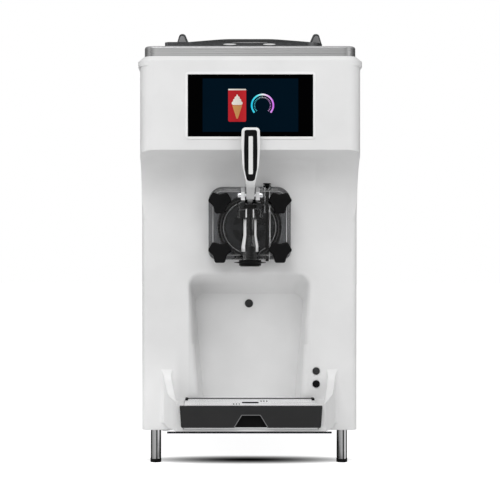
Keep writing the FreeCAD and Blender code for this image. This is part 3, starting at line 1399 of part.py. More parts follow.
# Drip tray and small front parts
def drip_tray():
    tray = new_body("drip_tray")
    half = s.tray_width / 2
    wall = s.tray_wall
    first = front_y + s.tray_front_depth
    last = panel_y - s.tray_back
    low = base_z + s.moulding_wall + s.seat_gap
    pad(tray, "XY", low, ledge_z, rectangle(-half, first, half, last))
    pocket(tray, "XY", low + wall, ledge_z + 1,
           rectangle(-half + wall, first + wall, half - wall, last - wall))

    front = new_body("tray_front")
    top = ledge_z + s.grate_thickness
    bottom = top - s.tray_front_height
    wide = s.tray_front_width / 2
    taper = s.tray_front_taper
    pad(front, "XZ", front_y, first, [
        (-wide + taper, bottom, taper),
        (wide - taper, bottom, taper),
        (wide, top),
        (-wide, top),
    ])
    pull_top = s.pull_top / 2
    pull_bottom = s.pull_bottom / 2
    pocket(front, "XZ", front_y - 1, front_y + s.pull_depth, [
        (-pull_bottom, bottom - 1),
        (pull_bottom, bottom - 1),
        (pull_top, bottom + s.pull_height, s.pull_radius),
        (-pull_top, bottom + s.pull_height, s.pull_radius),
    ])

    grate = new_body("drip_grate")
    gap = s.tray_clearance / 2
    pad(grate, "XY", ledge_z, top, rectangle(-half, first + gap, half, last))
    rim = wall + gap
    edge = 2 * wall
    pad(grate, "XY", ledge_z - edge, ledge_z,
        rectangle(-half + rim, first + rim, half - rim, last - rim),
        rectangle(-half + rim + edge, first + rim + edge, half - rim - edge, last - rim - edge))
    middle = first + s.grate_hold_back
    hold = s.grate_hold / 2
    hold_half = s.grate_hold_depth / 2
    cuts = [rectangle(-hold, middle - hold_half, hold, middle + hold_half, hold_half / 3)]
    slot_half = s.grate_slot / 2
    slot_side = s.grate_slot_width / 2
    for side in (-1, 1):
        slot_y = middle + side * s.grate_slot_side
        for i in (-1, 0, 1):
            x = side * (hold + s.grate_slot_pitch * 2) + i * s.grate_slot_pitch
            cuts.append(rectangle(x - slot_side, slot_y - slot_half, x + slot_side, slot_y + slot_half,
                                  slot_side * 0.95))
        notch = side * (half - s.grate_notch)
        left, right = (-half - 1, notch) if side < 0 else (notch, half + 1)
        cuts.append(rectangle(left, last - s.grate_notch, right, last + 1))
    pocket(grate, "XY", ledge_z - edge - 1, top + 1, *cuts)


def cup_sensor():
    body = new_body("cup_sensor")
    place(body, 0, panel_y + s.niche_depth, sensor_z)
    zero = Size(0, "0")
    radius = s.sensor_radius
    stem = radius - 2 - s.shaft_clearance
    turned(body, "XY", "V_Axis", [
        (zero, Size(-2, "-2")),
        (radius * 0.5, Size(-1.6, "-1.6")),
        (radius * 0.62, Size(-0.9, "-0.9")),
        (radius * 0.7, Size(-1.6, "-1.6")),
        (radius, Size(-1.2, "-1.2")),
        (radius, zero),
        (stem, zero),
        (stem, s.moulding_wall * 4),
        (zero, s.moulding_wall * 4),
    ])


def buttons():
    for label, lift in (("upper_button", 1), ("lower_button", 0)):
        body = new_body(label)
        place(body, s.button_side, panel_y, floor_z + s.button_height + lift * s.button_pitch)
        zero = Size(0, "0")
        radius = s.button_radius
        proud = -s.button_proud
        seat = s.moulding_wall + s.seat_gap
        turned(body, "XY", "V_Axis", [
            (zero, proud - 0.8),
            (radius * 0.55, proud - 0.5),
            (radius * 0.9, proud),
            (radius, proud + 0.8),
            (radius, seat),
            (radius + 1.5, seat),
            (radius + 1.5, seat + 1.5),
            (radius * 0.4, seat + 1.5),
            (radius * 0.4, seat + 9),
            (zero, seat + 9),
        ])


# Dasher and its drive
def own_axis(body, role):
    return [f for f in body.Origin.OriginFeatures if f.Role == role][0]


def dasher():
    body = new_body("dasher")
    start = barrel_y + s.dasher_front_gap
    place(body, 0, start, barrel_z)
    zero = Size(0, "0")
    length = s.barrel_length - s.barrel_end - s.dasher_front_gap - s.dasher_gap
    outer = s.barrel_radius - 5
    inner = outer * 0.45
    ring = s.dasher_ring
    last = length - s.dasher_plate
    turned(body, "XY", "V_Axis", rectangle(outer * 0.72, zero, outer, ring))
    spoke = s.carrier_width / 3
    pad(body, "XZ", zero, ring, rectangle(-outer * 0.8, -spoke, outer * 0.8, spoke))
    pad(body, "XZ", zero, ring, rectangle(-spoke, -outer * 0.8, spoke, outer * 0.8))
    pad(body, "XZ", -ring / 2, ring, Circle(zero, zero, s.shaft_radius))
    half = s.carrier_width / 2
    depth = s.carrier_thickness
    for side in (-1, 1):
        near = side * (outer - 2 * depth)
        far = side * (outer - depth / 2)
        left, right = (far, near) if side < 0 else (near, far)
        pad(body, "XZ", ring - 0.5, last + 0.5, rectangle(left, -half, right, half))
    turned(body, "XY", "V_Axis", rectangle(s.shaft_radius * 0.7, last, outer, length))
    # helical ribbons inside the carriers
    for side in (-1, 1):
        helix = body.newObject("PartDesign::AdditiveHelix", body.Name + "_ribbon")
        near = side * inner
        far = side * (inner + s.ribbon_width)
        left, right = (far, near) if side < 0 else (near, far)
        foot = ring - 1
        section = rectangle(left, foot, right, foot + s.ribbon_thickness)
        helix.Profile = profile(body, "XY", zero, [section])
        helix.ReferenceAxis = (helix.Profile[0], ["V_Axis"])
        helix.Mode = "pitch-height-angle"
        bind(helix, "Pitch", (last - ring) * 0.75)
        bind(helix, "Height", last - ring)
    blades = []
    thick = s.scraper_thickness
    tip = s.barrel_radius - s.dasher_gap
    for i, side in enumerate((-1, 1)):
        near = side * (outer - 2 * depth)
        far = side * (tip - 0.5)
        left, right = (far, near) if side < 0 else (near, far)
        low, high = (-half - thick, -half) if side < 0 else (half, half + thick)
        blades.append(box("scraper%d" % i, left, right, start + ring + 1, start + last - 1,
                          barrel_z + low, barrel_z + high))
    group("scraper_blades", blades)


def drive_shaft():
    body = new_body("drive_shaft")
    plate_y = barrel_rear - s.barrel_end - s.dasher_gap
    place(body, 0, plate_y, barrel_z)
    zero = Size(0, "0")
    stub = s.shaft_radius * 0.7 - s.shaft_clearance
    turned(body, "XY", "V_Axis", [
        (zero, -s.dasher_plate + 1),
        (stub, -s.dasher_plate + 1),
        (stub, zero),
        (s.shaft_radius, zero),
        (s.shaft_radius, s.dasher_gap + s.barrel_end + s.input_seat),
        (zero, s.dasher_gap + s.barrel_end + s.input_seat),
    ])


def gear_reducer():
    body = new_body("gear_reducer")
    zero = Size(0, "0")
    half = s.gearbox_size / 2
    last = barrel_rear + s.gearbox_length
    pad(body, "XZ", barrel_rear, last,
        rectangle(-half, barrel_z - half, half, barrel_z + half, s.shaft_radius))
    foot = half * 0.7
    pad(body, "XY", shelf_z + s.shelf_thickness, barrel_z - half + 1,
        rectangle(-foot, barrel_rear, foot, last))
    pocket(body, "XZ", barrel_rear - 1, barrel_rear + s.input_seat + 1,
           Circle(zero, barrel_z, s.shaft_radius + s.shaft_clearance))
    pocket(body, "XZ", last - s.input_seat - 1, last + 1,
           Circle(zero, barrel_z, s.input_radius + s.shaft_clearance))


def pulley(label, x, z, seat):
    body = new_body(label)
    place(body, x, pulley_y, z)
    zero = Size(0, "0")
    rim = seat + s.pulley_rim
    wide = s.pulley_width
    cheek = (wide - s.belt_width) / 2 - s.belt_gap
    turned(body, "XY", "V_Axis", [
        (zero, -s.drive_gap - s.input_seat),
        (s.input_radius, -s.drive_gap - s.input_seat),
        (s.input_radius, zero),
        (rim, zero),
        (rim, cheek),
        (seat, cheek),
        (seat, wide - cheek),
        (rim, wide - cheek),
        (rim, wide),
        (zero, wide),
    ])
    return body


def belt_loop(grow, y):
    # Taut loop round both pulleys, drawn in the plane at y.
    first = Vector(0, y, number(barrel_z))
    second = Vector(number(motor_x), y, number(motor_z))
    large = number(s.gear_pulley_radius) + grow
    small = number(s.motor_pulley_radius) + grow
    span = second - first
    line = math.atan2(span.z, span.x)
    lean = math.acos((large - small) / span.Length)

    def at(middle, radius, angle):
        return middle + Vector(math.cos(angle), 0, math.sin(angle)) * radius

    a = at(first, large, line + lean)
    b = at(second, small, line + lean)
    c = at(second, small, line - lean)
    d = at(first, large, line - lean)
    edges = [
        Part.makeLine(a, b),
        Part.Arc(b, at(second, small, line), c).toShape(),
        Part.makeLine(c, d),
        Part.Arc(d, at(first, large, line + math.pi), a).toShape(),
    ]
    return Part.Wire(edges)


def drive_belt():
    gap = number(s.belt_gap)
    y = number(pulley_y + s.pulley_width / 2 - s.belt_width / 2)
    inner = belt_loop(gap, y)
    outer = belt_loop(gap + number(s.belt_thickness), y)
    across = Vector(0, number(s.belt_width), 0)
    belt = doc.addObject("Part::Feature", "drive_belt")
    belt.Shape = Part.Face(outer).extrude(across).cut(Part.Face(inner).extrude(across))
    node("drive_belt", belt)


def drive_motor():
    last = pulley_y - s.drive_gap
    first = last - s.motor_length
    can = cylinder("motor_can", "Y", s.motor_radius, first, last, motor_x, motor_z)
    foot = box("motor_base", motor_x - s.motor_radius * 0.7, motor_x + s.motor_radius * 0.7,
               first + s.motor_foot, last - s.motor_foot, pan_z, motor_z)
    socket = cylinder("motor_socket", "Y", s.input_radius + s.shaft_clearance,
                      last - s.input_seat - 1, last + 1, motor_x, motor_z)
    node("drive_motor", cut("drive_motor", fused("motor_whole", can, foot), socket))


# Refrigeration
def compressor():
    body = new_body("compressor")
    place(body, compressor_x, panel_y + s.compressor_back, pan_z)
    zero = Size(0, "0")
    foot = s.compressor_foot
    radius = s.compressor_radius
    tall = shell_z - pan_z
    turned(body, "XZ", "V_Axis", [
        (zero, foot),
        (radius, foot, radius * 0.2),
        (radius, tall, radius * 0.5),
        (zero, tall),
    ])
    plate = radius * 0.9
    pad(body, "XY", foot, foot + s.moulding_wall, rectangle(-plate, -plate, plate, plate, radius * 0.15))
    for x in (-1, 1):
        for y in (-1, 1):
            spot = plate - foot
            pad(body, "XY", zero, foot + 1, Circle(x * spot, y * spot, foot * 0.7))


def condenser():
    body = new_body("condenser")
    half = coil_half
    top = pan_z + coil_tall
    last = condenser_y + s.condenser_depth
    pad(body, "XZ", condenser_y, last, rectangle(-half, pan_z, half, top))
    fins = 20
    edge = s.pan_rim / 2
    pitch = (2 * half - 2 * edge) / fins
    slot = pocket(body, "XZ", condenser_y - 1, last + 1,
                  rectangle(-half + edge + pitch * 0.25, pan_z + edge,
                            -half + edge + pitch * 0.75, top - edge))
    row(body, slot, "H_Axis", fins, pitch * (fins - 1))


def fan_shroud():
    body = new_body("fan_shroud")
    half = coil_half
    zero = Size(0, "0")
    pad(body, "XZ", shroud_y, condenser_y, rectangle(-half, pan_z, half, pan_z + coil_tall),
        Circle(zero, fan_z, fan_radius + s.fan_gap))
    strut = s.fan_strut
    pad(body, "XZ", strut_y, strut_y + strut, rectangle(-half, fan_z - strut, half, fan_z + strut))
    for side in (-1, 1):
        left, right = (-half, -half + strut) if side < 0 else (half - strut, half)
        pad(body, "XZ", strut_y, shroud_y + 0.5, rectangle(left, fan_z - strut, right, fan_z + strut))
    pocket(body, "XZ", strut_y - 1, strut_y + strut + 1,
           Circle(zero, fan_z, s.fan_hub / 4 + s.seat_gap))


def fan():
    motor = new_body("fan_motor")
    zero = Size(0, "0")
    first = strut_y - s.fan_motor_length
    pad(motor, "XZ", first, strut_y, Circle(zero, fan_z, s.fan_motor_radius))
    pocket(motor, "XZ", strut_y - s.input_seat, strut_y + 1,
           Circle(zero, fan_z, s.fan_hub / 4 + s.shaft_clearance))
    body = new_body("fan")
    place(body, 0, fan_y, fan_z)
    depth = s.fan_depth
    hub = s.fan_hub
    shaft = s.fan_hub / 4
    seat = -s.fan_space - s.fan_strut - s.input_seat + 1
    turned(body, "XY", "V_Axis", [
        (zero, seat),
        (shaft, seat),
        (shaft, zero),
        (hub, zero),
        (hub, depth),
        (zero, depth),
    ])

    def blade(half):
        return [
            (-half, depth * 0.1),
            (half, depth * 0.8),
            (half, depth * 0.9),
            (-half, depth * 0.2),
        ]

    wing = lofted(body, "Additive", "XY", [
        (hub * 0.8, blade(hub * 0.45)),
        (fan_radius * 0.91, blade(fan_radius * 0.36)),
    ])
    pattern = body.newObject("PartDesign::PolarPattern", body.Name + "_around")
    pattern.Originals = [wing]
    pattern.Axis = (own_axis(body, "Y_Axis"), [""])
    pattern.Occurrences = 5
    pattern.Angle = 360
    body.Tip = pattern


def bent_pipe(points, radius, bend):
    # Round pipe through the points, with a bend at each corner.
    edges = []
    start = points[0]
    for before, corner, after in zip(points, points[1:], points[2:]):
        back = (before - corner).normalize()
        ahead = (after - corner).normalize()
        half = back.getAngle(ahead) / 2
        run = bend / math.tan(half)
        middle = corner + (back + ahead).normalize() * (bend / math.sin(half))
        first = corner + back * run
        last = corner + ahead * run
        edges.append(Part.makeLine(start, first))
        edges.append(Part.Arc(first, middle + (corner - middle).normalize() * bend, last).toShape())
        start = last
    edges.append(Part.makeLine(start, points[-1]))
    section = Part.Wire([Part.makeCircle(radius, points[0], points[1] - points[0])])
    return Part.Wire(edges).makePipeShell([section], True, False)


def refrigerant_lines():
    radius = number(s.pipe_radius)
    bend = number(s.pipe_bend)
    side = number(compressor_x)
    back = number(panel_y + s.compressor_back)
    top = number(shell_z)
    under = number(shelf_z) - 2 * bend
    coil_x = number(coil_half)
    coil_y = number(condenser_y + s.condenser_depth / 2)
    coil_z = number(pan_z + coil_tall) - 2 * bend
    out = number(pipe_x)
    ring = number(s.barrel_radius + s.barrel_wall + s.jacket_thickness / 2)
    jacket_end = number(jacket_y + s.jacket_length)
    axis_z = number(barrel_z)
    turn_y = jacket_end + bend + radius
    offset = number(s.compressor_radius) * 0.3
    paths = [
        # compressor to condenser
        [
            Vector(side - offset, back, top),
            Vector(side - offset, back, under),
            Vector(-out, back, under),
            Vector(-out, coil_y, under),
            Vector(-out, coil_y, coil_z - bend),
            Vector(-coil_x, coil_y, coil_z - bend),
        ],
        # jacket back to compressor
        [
            Vector(0, jacket_end, axis_z - ring),
            Vector(0, turn_y, axis_z - ring),
            Vector(0, turn_y, under),
            Vector(0, back, under),
            Vector(side + offset, back, under),
            Vector(side + offset, back, top),
        ],
        # condenser to jacket
        [
            Vector(coil_x, coil_y, coil_z - 4 * bend),
            Vector(out, coil_y, coil_z - 4 * bend),
            Vector(out, coil_y, under),
            Vector(out, turn_y + 2 * bend, under),
            Vector(out, turn_y + 2 * bend, axis_z),
            Vector(ring, turn_y + 2 * bend, axis_z),
            Vector(ring, jacket_end, axis_z),
        ],
    ]
    pipes = []
    for i, points in enumerate(paths):
        pipe = doc.addObject("Part::Feature", "pipe%d" % i)
        pipe.Shape = bent_pipe(points, radius, bend)
        pipes.append(pipe)
    group("refrigerant_lines", pipes)


# Chassis and electrics
def chassis():
    body = new_body("chassis")
    zero = Size(0, "0")
    half = half_width - s.sheet_wall - s.pan_wall
    last = shelf_y + s.shelf_length
    shelf_top = shelf_z + s.shelf_thickness
    pad(body, "XY", shelf_z, shelf_top, rectangle(-half, shelf_y, half, last))
    size = s.post_size
    wall = s.post_wall
    for side in (-1, 1):
        for edge, turn in ((shelf_y, 1), (last, -1)):
            pad(body, "XY", pan_z, lip_z, [
                (side * half, edge),
                (side * (half - size), edge),
                (side * (half - size), edge + turn * wall),
                (side * (half - wall), edge + turn * wall),
                (side * (half - wall), edge + turn * size),
                (side * half, edge + turn * size),
            ])
    saddle_y = feed_y + s.feed_radius + s.saddle_length
    wide = s.saddle_width / 2
    pad(body, "XY", shelf_top - 0.5, barrel_z - s.barrel_radius / 2,
        rectangle(-wide, saddle_y, wide, saddle_y + s.saddle_length))
    pocket(body, "XZ", saddle_y - 1, saddle_y + s.saddle_length + 1,
           Circle(zero, barrel_z, s.barrel_radius + s.barrel_wall))
    pipe = s.pipe_radius * 2
    turn_y = jacket_y + s.jacket_length + s.pipe_bend + s.pipe_radius
    pocket(body, "XY", shelf_z - 1, shelf_top + 1, Circle(zero, turn_y, pipe),
           Circle(pipe_x, turn_y + 2 * s.pipe_bend, pipe))


def power_unit():
    body = new_body("power_unit")
    left = -half_width + s.sheet_wall + s.pan_wall + s.pan_rim / 2
    first = shelf_y + s.shelf_length - s.post_size - s.power_length
    shelf_top = shelf_z + s.shelf_thickness
    pad(body, "XY", shelf_top, shelf_top + s.power_height,
        rectangle(left, first, left + s.power_width, first + s.power_length, s.power_round))


def power_inlet():
    body = new_body("power_inlet")
    inlet_z = floor_z + s.inlet_rise
    gap = s.panel_clearance
    wide = s.inlet_width / 2 - gap
    tall = s.inlet_height / 2 - gap
    inner = rear_y - s.sheet_wall
    x = s.inlet_side
    deep = rear_y - s.inlet_width
    pad(body, "XZ", deep, rear_y, rectangle(x - wide, inlet_z - tall, x + wide, inlet_z + tall))
    out = s.inlet_height / 4
    pad(body, "XZ", inner - s.pan_wall, inner,
        rectangle(x - wide - out, inlet_z - tall - out, x + wide + out, inlet_z + tall + out))
    lip = s.pan_wall
    pocket(body, "XZ", deep + s.inlet_height / 2, rear_y + 1,
           rectangle(x - wide + lip, inlet_z - tall + lip, x + wide - lip, inlet_z + tall - lip))
    pins = []
    for side, rise in ((-1, -2), (0, 2), (1, -2)):
        pins.append(rectangle(x + side * s.inlet_width / 4 - lip / 2, inlet_z + rise - lip,
                              x + side * s.inlet_width / 4 + lip / 2, inlet_z + rise + lip))
    pad(body, "XZ", deep + s.inlet_height / 2 - 1, rear_y - s.inlet_height / 4, *pins)


front_moulding()
side_panels()
rear_panel()
base_pan()
legs()
chassis()
top_collar()
top_deck()
hopper()
feed_pipe()
feed_tube()
hopper_lid()
screen()
freezing_cylinder()
jacket()
dasher()
drive_shaft()
gear_reducer()
pulley("reducer_pulley", 0, barrel_z, s.gear_pulley_radius)
pulley("motor_pulley", motor_x, motor_z, s.motor_pulley_radius)
drive_belt()
drive_motor()
door_studs()
gasket()
dispensing_door()
draw_valve()
pivot()
draw_lever()
prime_plug()
star_nozzle()
knobs()
drip_tray()
cup_sensor()
buttons()
compressor()
condenser()
fan_shroud()
fan()
refrigerant_lines()
power_unit()
power_inlet()
doc.recompute()

# Check every object, then write one file per piece
for feature in doc.Objects:
    if "Invalid" in feature.State or "Error" in feature.State:
        raise RuntimeError("%s did not build" % feature.Name)
os.makedirs("parts", exist_ok=True)
for feature in nodes:
    shape = feature.Shape
    if shape.isNull() or not shape.isValid() or not shape.Solids:
        raise RuntimeError("%s has no sound solid" % feature.Label)
    shape.exportStep("parts/%s.step" % feature.Label)
    print(feature.Label, len(shape.Solids), "solid(s), %.0f mm3" % shape.Volume)
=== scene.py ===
import bpy
import bmesh
import math
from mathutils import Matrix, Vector


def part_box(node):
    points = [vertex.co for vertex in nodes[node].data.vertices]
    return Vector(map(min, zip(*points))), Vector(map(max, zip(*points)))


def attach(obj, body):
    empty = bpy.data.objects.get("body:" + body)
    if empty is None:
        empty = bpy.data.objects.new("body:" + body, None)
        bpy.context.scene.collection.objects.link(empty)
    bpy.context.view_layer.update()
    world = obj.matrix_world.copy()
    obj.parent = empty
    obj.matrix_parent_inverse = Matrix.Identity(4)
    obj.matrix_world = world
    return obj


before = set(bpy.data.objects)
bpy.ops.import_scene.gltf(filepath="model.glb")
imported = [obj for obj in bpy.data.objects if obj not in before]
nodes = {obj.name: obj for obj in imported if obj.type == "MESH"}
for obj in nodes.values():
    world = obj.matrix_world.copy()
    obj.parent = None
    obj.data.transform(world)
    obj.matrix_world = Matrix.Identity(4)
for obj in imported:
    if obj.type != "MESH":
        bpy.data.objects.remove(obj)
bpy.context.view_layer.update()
print("frame loaded:", len(nodes), "nodes")

# node helpers: a value that is a socket is linked, anything else is set


def add(tree, kind, values, **settings):
    node = tree.nodes.new(kind)
    for key, value in settings.items():
        setattr(node, key, value)
    for key, value in values.items():
        socket = node.inputs[key]
        if isinstance(value, bpy.types.NodeSocket):
            tree.links.new(value, socket)
        else:
            socket.default_value = value
    return node.outputs


def calc(tree, operation, *values):
    return add(tree, "ShaderNodeMath", dict(enumerate(values)), operation=operation)[0]


def times(tree, first, *others):
    for value in others:
        first = calc(tree, "MULTIPLY", first, value)
    return first


def drive(shader, name, socket):
    shader.id_data.links.new(socket, shader.inputs[name])


def newFinish(name, color, roughness, metallic=0.0, specular=0.5):
    mat = bpy.data.materials.new(name)
    mat.use_nodes = True
    shader = mat.node_tree.nodes["Principled BSDF"]
    shader.inputs["Base Color"].default_value = (*color, 1)
    shader.inputs["Roughness"].default_value = roughness
    shader.inputs["Metallic"].default_value = metallic
    shader.inputs["Specular IOR Level"].default_value = specular
    return mat, mat.node_tree, shader


def objectPoint(tree, scale=(1, 1, 1), shift=(0, 0, 0)):
    # Object coordinates, in metres
    point = add(tree, "ShaderNodeTexCoord", {})["Object"]
    return add(tree, "ShaderNodeMapping", {"Vector": point, "Scale": scale, "Location": shift})["Vector"]


def axes(tree, point=None):
    point = objectPoint(tree) if point is None else point
    return add(tree, "ShaderNodeSeparateXYZ", {"Vector": point})


def noise(tree, point, scale, detail=2.0):
    return add(tree, "ShaderNodeTexNoise", {"Vector": point, "Scale": scale, "Detail": detail})["Fac"]


def span(tree, value, low, high, fromLow=0.3, fromHigh=0.7):
    return add(tree, "ShaderNodeMapRange", {"Value": value, "From Min": fromLow, "From Max": fromHigh,
                                            "To Min": low, "To Max": high})["Result"]


def rise(tree, value, fromLow, fromHigh):
    return span(tree, value, 0.0, 1.0, fromLow, fromHigh)


def shades(tree, value, stops):
    node = tree.nodes.new("ShaderNodeValToRGB")
    ramp = node.color_ramp
    while len(ramp.elements) < len(stops):
        ramp.elements.new(0.5)
    for element, (at, color) in zip(ramp.elements, stops):
        element.position = at
        element.color = (*color, 1)
    tree.links.new(value, node.inputs["Fac"])
    return node.outputs["Color"]


def greys(stops):
    return [(at, (tone,) * 3) for at, tone in stops]


def around(color, spread):
    darker = tuple(max(c * (1 - spread), 0) for c in color)
    lighter = tuple(c * (1 + spread) for c in color)
    return [(0.3, darker), (0.7, lighter)]


def softEdge(tree, radius, samples=6):
    return add(tree, "ShaderNodeBevel", {"Radius": radius}, samples=samples)["Normal"]


def bump(tree, shader, height, depth, edge=0.0):
    values = {"Height": height, "Distance": depth, "Strength": 1.0}
    if edge:
        values["Normal"] = softEdge(tree, edge)
    drive(shader, "Normal", add(tree, "ShaderNodeBump", values)["Normal"])


def uneven(tree, shader, value, roughness, share):
    rough = span(tree, value, roughness * (1 - share), roughness * (1 + share))
    drive(shader, "Roughness", rough)


mouldLook = {"cloud": 14.0, "cloudDetail": 3.0, "uneven": 0.12}
brushLook = {"cloud": 9.0, "cloudDetail": 3.0, "lineDetail": 4.0, "lineShare": 0.7, "uneven": 0.2}


def mouldedFinish(name, color, roughness, spread=0.03, grain=900.0, depth=0.00004, edge=0.0, specular=0.5):
    mat, tree, shader = newFinish(name, color, roughness, 0.0, specular)
    point = objectPoint(tree)
    cloud = noise(tree, point, mouldLook["cloud"], mouldLook["cloudDetail"])
    fine = noise(tree, point, grain)
    drive(shader, "Base Color", shades(tree, cloud, around(color, spread)))
    uneven(tree, shader, fine, roughness, mouldLook["uneven"])
    bump(tree, shader, fine, depth, edge)
    return mat


def brushedFinish(name, color, roughness, stretch, spread=0.08, depth=0.00002, edge=0.0, metallic=1.0):
    # stretch is the noise scale per axis: small along the brushing, large across it
    mat, tree, shader = newFinish(name, color, roughness, metallic)
    lines = noise(tree, objectPoint(tree, stretch), 1.0, brushLook["lineDetail"])
    cloud = noise(tree, objectPoint(tree), brushLook["cloud"], brushLook["cloudDetail"])
    share = brushLook["lineShare"]
    both = calc(tree, "ADD", times(tree, lines, share), times(tree, cloud, 1 - share))
    drive(shader, "Base Color", shades(tree, both, around(color, spread)))
    uneven(tree, shader, lines, roughness, brushLook["uneven"])
    bump(tree, shader, lines, depth, edge)
    return mat


def paintOver(mat, factor, color, blend="MIX"):
    # lays a colour, or a socket's colours, over the finish as far as factor says
    tree = mat.node_tree
    base = tree.nodes["Principled BSDF"].inputs["Base Color"]
    over = color if isinstance(color, bpy.types.NodeSocket) else (*color, 1)
    values = {"Factor": factor, "A": base.links[0].from_socket, "B": over}
    tint = add(tree, "ShaderNodeMix", values, data_type="RGBA", blend_type=blend)["Result"]
    tree.links.new(tint, base)


def wear(names, mat):
    for name in [names] if isinstance(names, str) else names:
        for slot in nodes[name].material_slots:
            slot.material = mat


# cabinet finishes
shellLook = {"color": (0.80, 0.80, 0.80), "roughness": 0.40, "grain": 780.0, "depth": 0.00005, "edge": 0.0022}
panelLook = {"color": (0.79, 0.79, 0.795), "roughness": 0.36, "grain": 520.0, "depth": 0.00003, "edge": 0.001}
frameLook = {"color": (0.90, 0.90, 0.90), "roughness": 0.30, "grain": 1500.0, "depth": 0.00001,
             "edge": 0.0006}
shellWhite = mouldedFinish("shellWhite", **shellLook)
panelWhite = mouldedFinish("panelWhite", **panelLook)
frameWhite = mouldedFinish("frameWhite", **frameLook)

# the cup niche gathers less light: tones across it from left to right, depths and heights from the sensor
nicheLook = {"half": 0.102, "mouth": (-0.0445, -0.0410), "top": (0.045, 0.032), "fade": (-0.125, -0.05),
             "least": 0.25,
             "tones": ((0.0, 0.70), (0.05, 0.70), (0.09, 0.75), (0.135, 0.79), (0.21, 0.845), (0.34, 0.90),
                       (0.50, 0.975), (0.68, 1.0), (0.85, 0.985), (0.95, 0.95), (1.0, 0.93))}


def nicheShade(mat, look):
    tree = mat.node_tree
    at = axes(tree)
    low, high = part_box("cup_sensor")
    level = (low[2] + high[2]) / 2
    across = rise(tree, at["X"], -look["half"], look["half"])
    inside = calc(tree, "LESS_THAN", calc(tree, "ABSOLUTE", at["X"]), look["half"])
    for axis, least, start, limits in (("Y", 0.0, low[1], look["mouth"]), ("Z", 0.0, level, look["top"]),
                                       ("Z", look["least"], level, look["fade"])):
        ease = span(tree, at[axis], least, 1.0, start + limits[0], start + limits[1])
        inside = times(tree, inside, ease)
    paintOver(mat, inside, shades(tree, across, greys(look["tones"])), "MULTIPLY")


# painted light: the foot of the moulding is lightened outside the tray, most at the left
footLightLook = {"paintedLight": (0.97, 0.97, 0.97), "high": 0.21, "low": 0.12, "side": 0.18, "right": 0.25,
            "inner": 0.116, "outer": 0.127}


def paintedFootLight(mat, look):
    tree = mat.node_tree
    at = axes(tree)
    down = rise(tree, at["Z"], look["high"], look["low"])
    across = span(tree, at["X"], 1.0, look["right"], -look["side"], look["side"])
    outside = rise(tree, calc(tree, "ABSOLUTE", at["X"]), look["inner"], look["outer"])
    paintOver(mat, times(tree, down, across, outside), look["paintedLight"])


wear("top_collar", shellWhite)
mouldingWhite = mouldedFinish("mouldingWhite", **shellLook)
paintedFootLight(mouldingWhite, footLightLook)
nicheShade(mouldingWhite, nicheLook)
wear("front_moulding", mouldingWhite)
wear(["left_side_panel", "right_side_panel", "rear_panel"], panelWhite)
wear("screen_bezel", frameWhite)

# painted shade and dark reflections towards the deck's ends, and painted shade on a strip just below its top
# edge
deckLook = {"left": ((0.0, 0.45), (0.012, 0.50), (0.018, 1.0)),
            "right": ((0.022, 0.84), (0.018, 0.66), (0.013, 0.60), (0.006, 0.42), (0.0, 0.38)),
            "edge": (0.40, 0.40, 0.405), "edgeDrop": 0.0036, "edgeGap": 0.0003}
deckSteel = brushedFinish("deckSteel", (0.54, 0.541, 0.543), 0.30, (3.0, 900.0, 900.0), edge=0.0012,
                          metallic=0.5)


def cornerShade(mat, low, high, look):
    # painted shade and dark reflections: tones along x near either end, given by the distance in from that
    # end
    tree = mat.node_tree
    reach = high - low
    stops = [(inset / reach, tone) for inset, tone in look["left"]]
    stops += [(1 - inset / reach, tone) for inset, tone in look["right"]]
    along = rise(tree, axes(tree)["X"], low, high)
    paintOver(mat, 1.0, shades(tree, along, greys(stops)), "MULTIPLY")


cornerShade(deckSteel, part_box("top_deck")[0][0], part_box("top_deck")[1][0], deckLook)
sheetSteel = brushedFinish("sheetSteel", (0.72, 0.725, 0.73), 0.30, (4.0, 700.0, 700.0), edge=0.0004)
turnedSteel = brushedFinish("turnedSteel", (0.60, 0.605, 0.61), 0.24, (600.0, 6.0, 600.0))
polishedSteel = brushedFinish("polishedSteel", (0.74, 0.75, 0.77), 0.10, (300.0, 300.0, 300.0), spread=0.03,
                              depth=0.000004)
zincGrey = brushedFinish("zincGrey", (0.52, 0.53, 0.54), 0.42, (60.0, 60.0, 60.0), spread=0.15)
wear("top_deck", deckSteel)
wear(["hopper", "drip_tray", "feed_pipe", "base_pan"], sheetSteel)
grateSteel = brushedFinish("grateSteel", (0.93, 0.932, 0.935), 0.30, (5.0, 800.0, 800.0), spread=0.05,
                           edge=0.0004, metallic=0.3)
wear("drip_grate", grateSteel)
wear(["freezing_cylinder", "refrigerant_jacket", "drive_shaft"], turnedSteel)
dasherSteel = brushedFinish("dasherSteel", (0.10, 0.102, 0.105), 0.30, (600.0, 6.0, 600.0), spread=0.15)
wear("dasher", dasherSteel)
wear(["pivot_pin", "pivot_bushes", "door_studs"], polishedSteel)
wear(["chassis", "fan_shroud"], zincGrey)

# painted reflection: upright bands of light and dark on the leg tubes, as polished tubes mirror a room
legLook = {"middle": 0.159, "radius": 0.009, "roughness": 0.16, "uneven": 0.2, "grain": 700.0, "cool": 1.01,
           "reflectionBands": ((0.0, 0.03), (0.13, 0.05), (0.19, 0.34), (0.47, 0.62), (0.53, 0.40), (0.58, 0.04),
                     (0.66, 0.04), (0.71, 0.85), (0.83, 0.95), (0.88, 0.02), (1.0, 0.02))}


def tubeFinish(name, look):
    mat, tree, shader = newFinish(name, (0.5, 0.5, 0.5), look["roughness"], 1.0)
    point = objectPoint(tree)
    x = axes(tree, point)["X"]
    middle = times(tree, calc(tree, "SIGN", x), look["middle"])
    across = rise(tree, calc(tree, "SUBTRACT", x, middle), -look["radius"], look["radius"])
    reflectionBands = shades(tree, across, [(at, (tone, tone, tone * look["cool"])) for at, tone in look["reflectionBands"]])
    drive(shader, "Base Color", reflectionBands)
    uneven(tree, shader, noise(tree, point, look["grain"]), look["roughness"], look["uneven"])
    return mat


wear("legs", tubeFinish("legSteel", legLook))

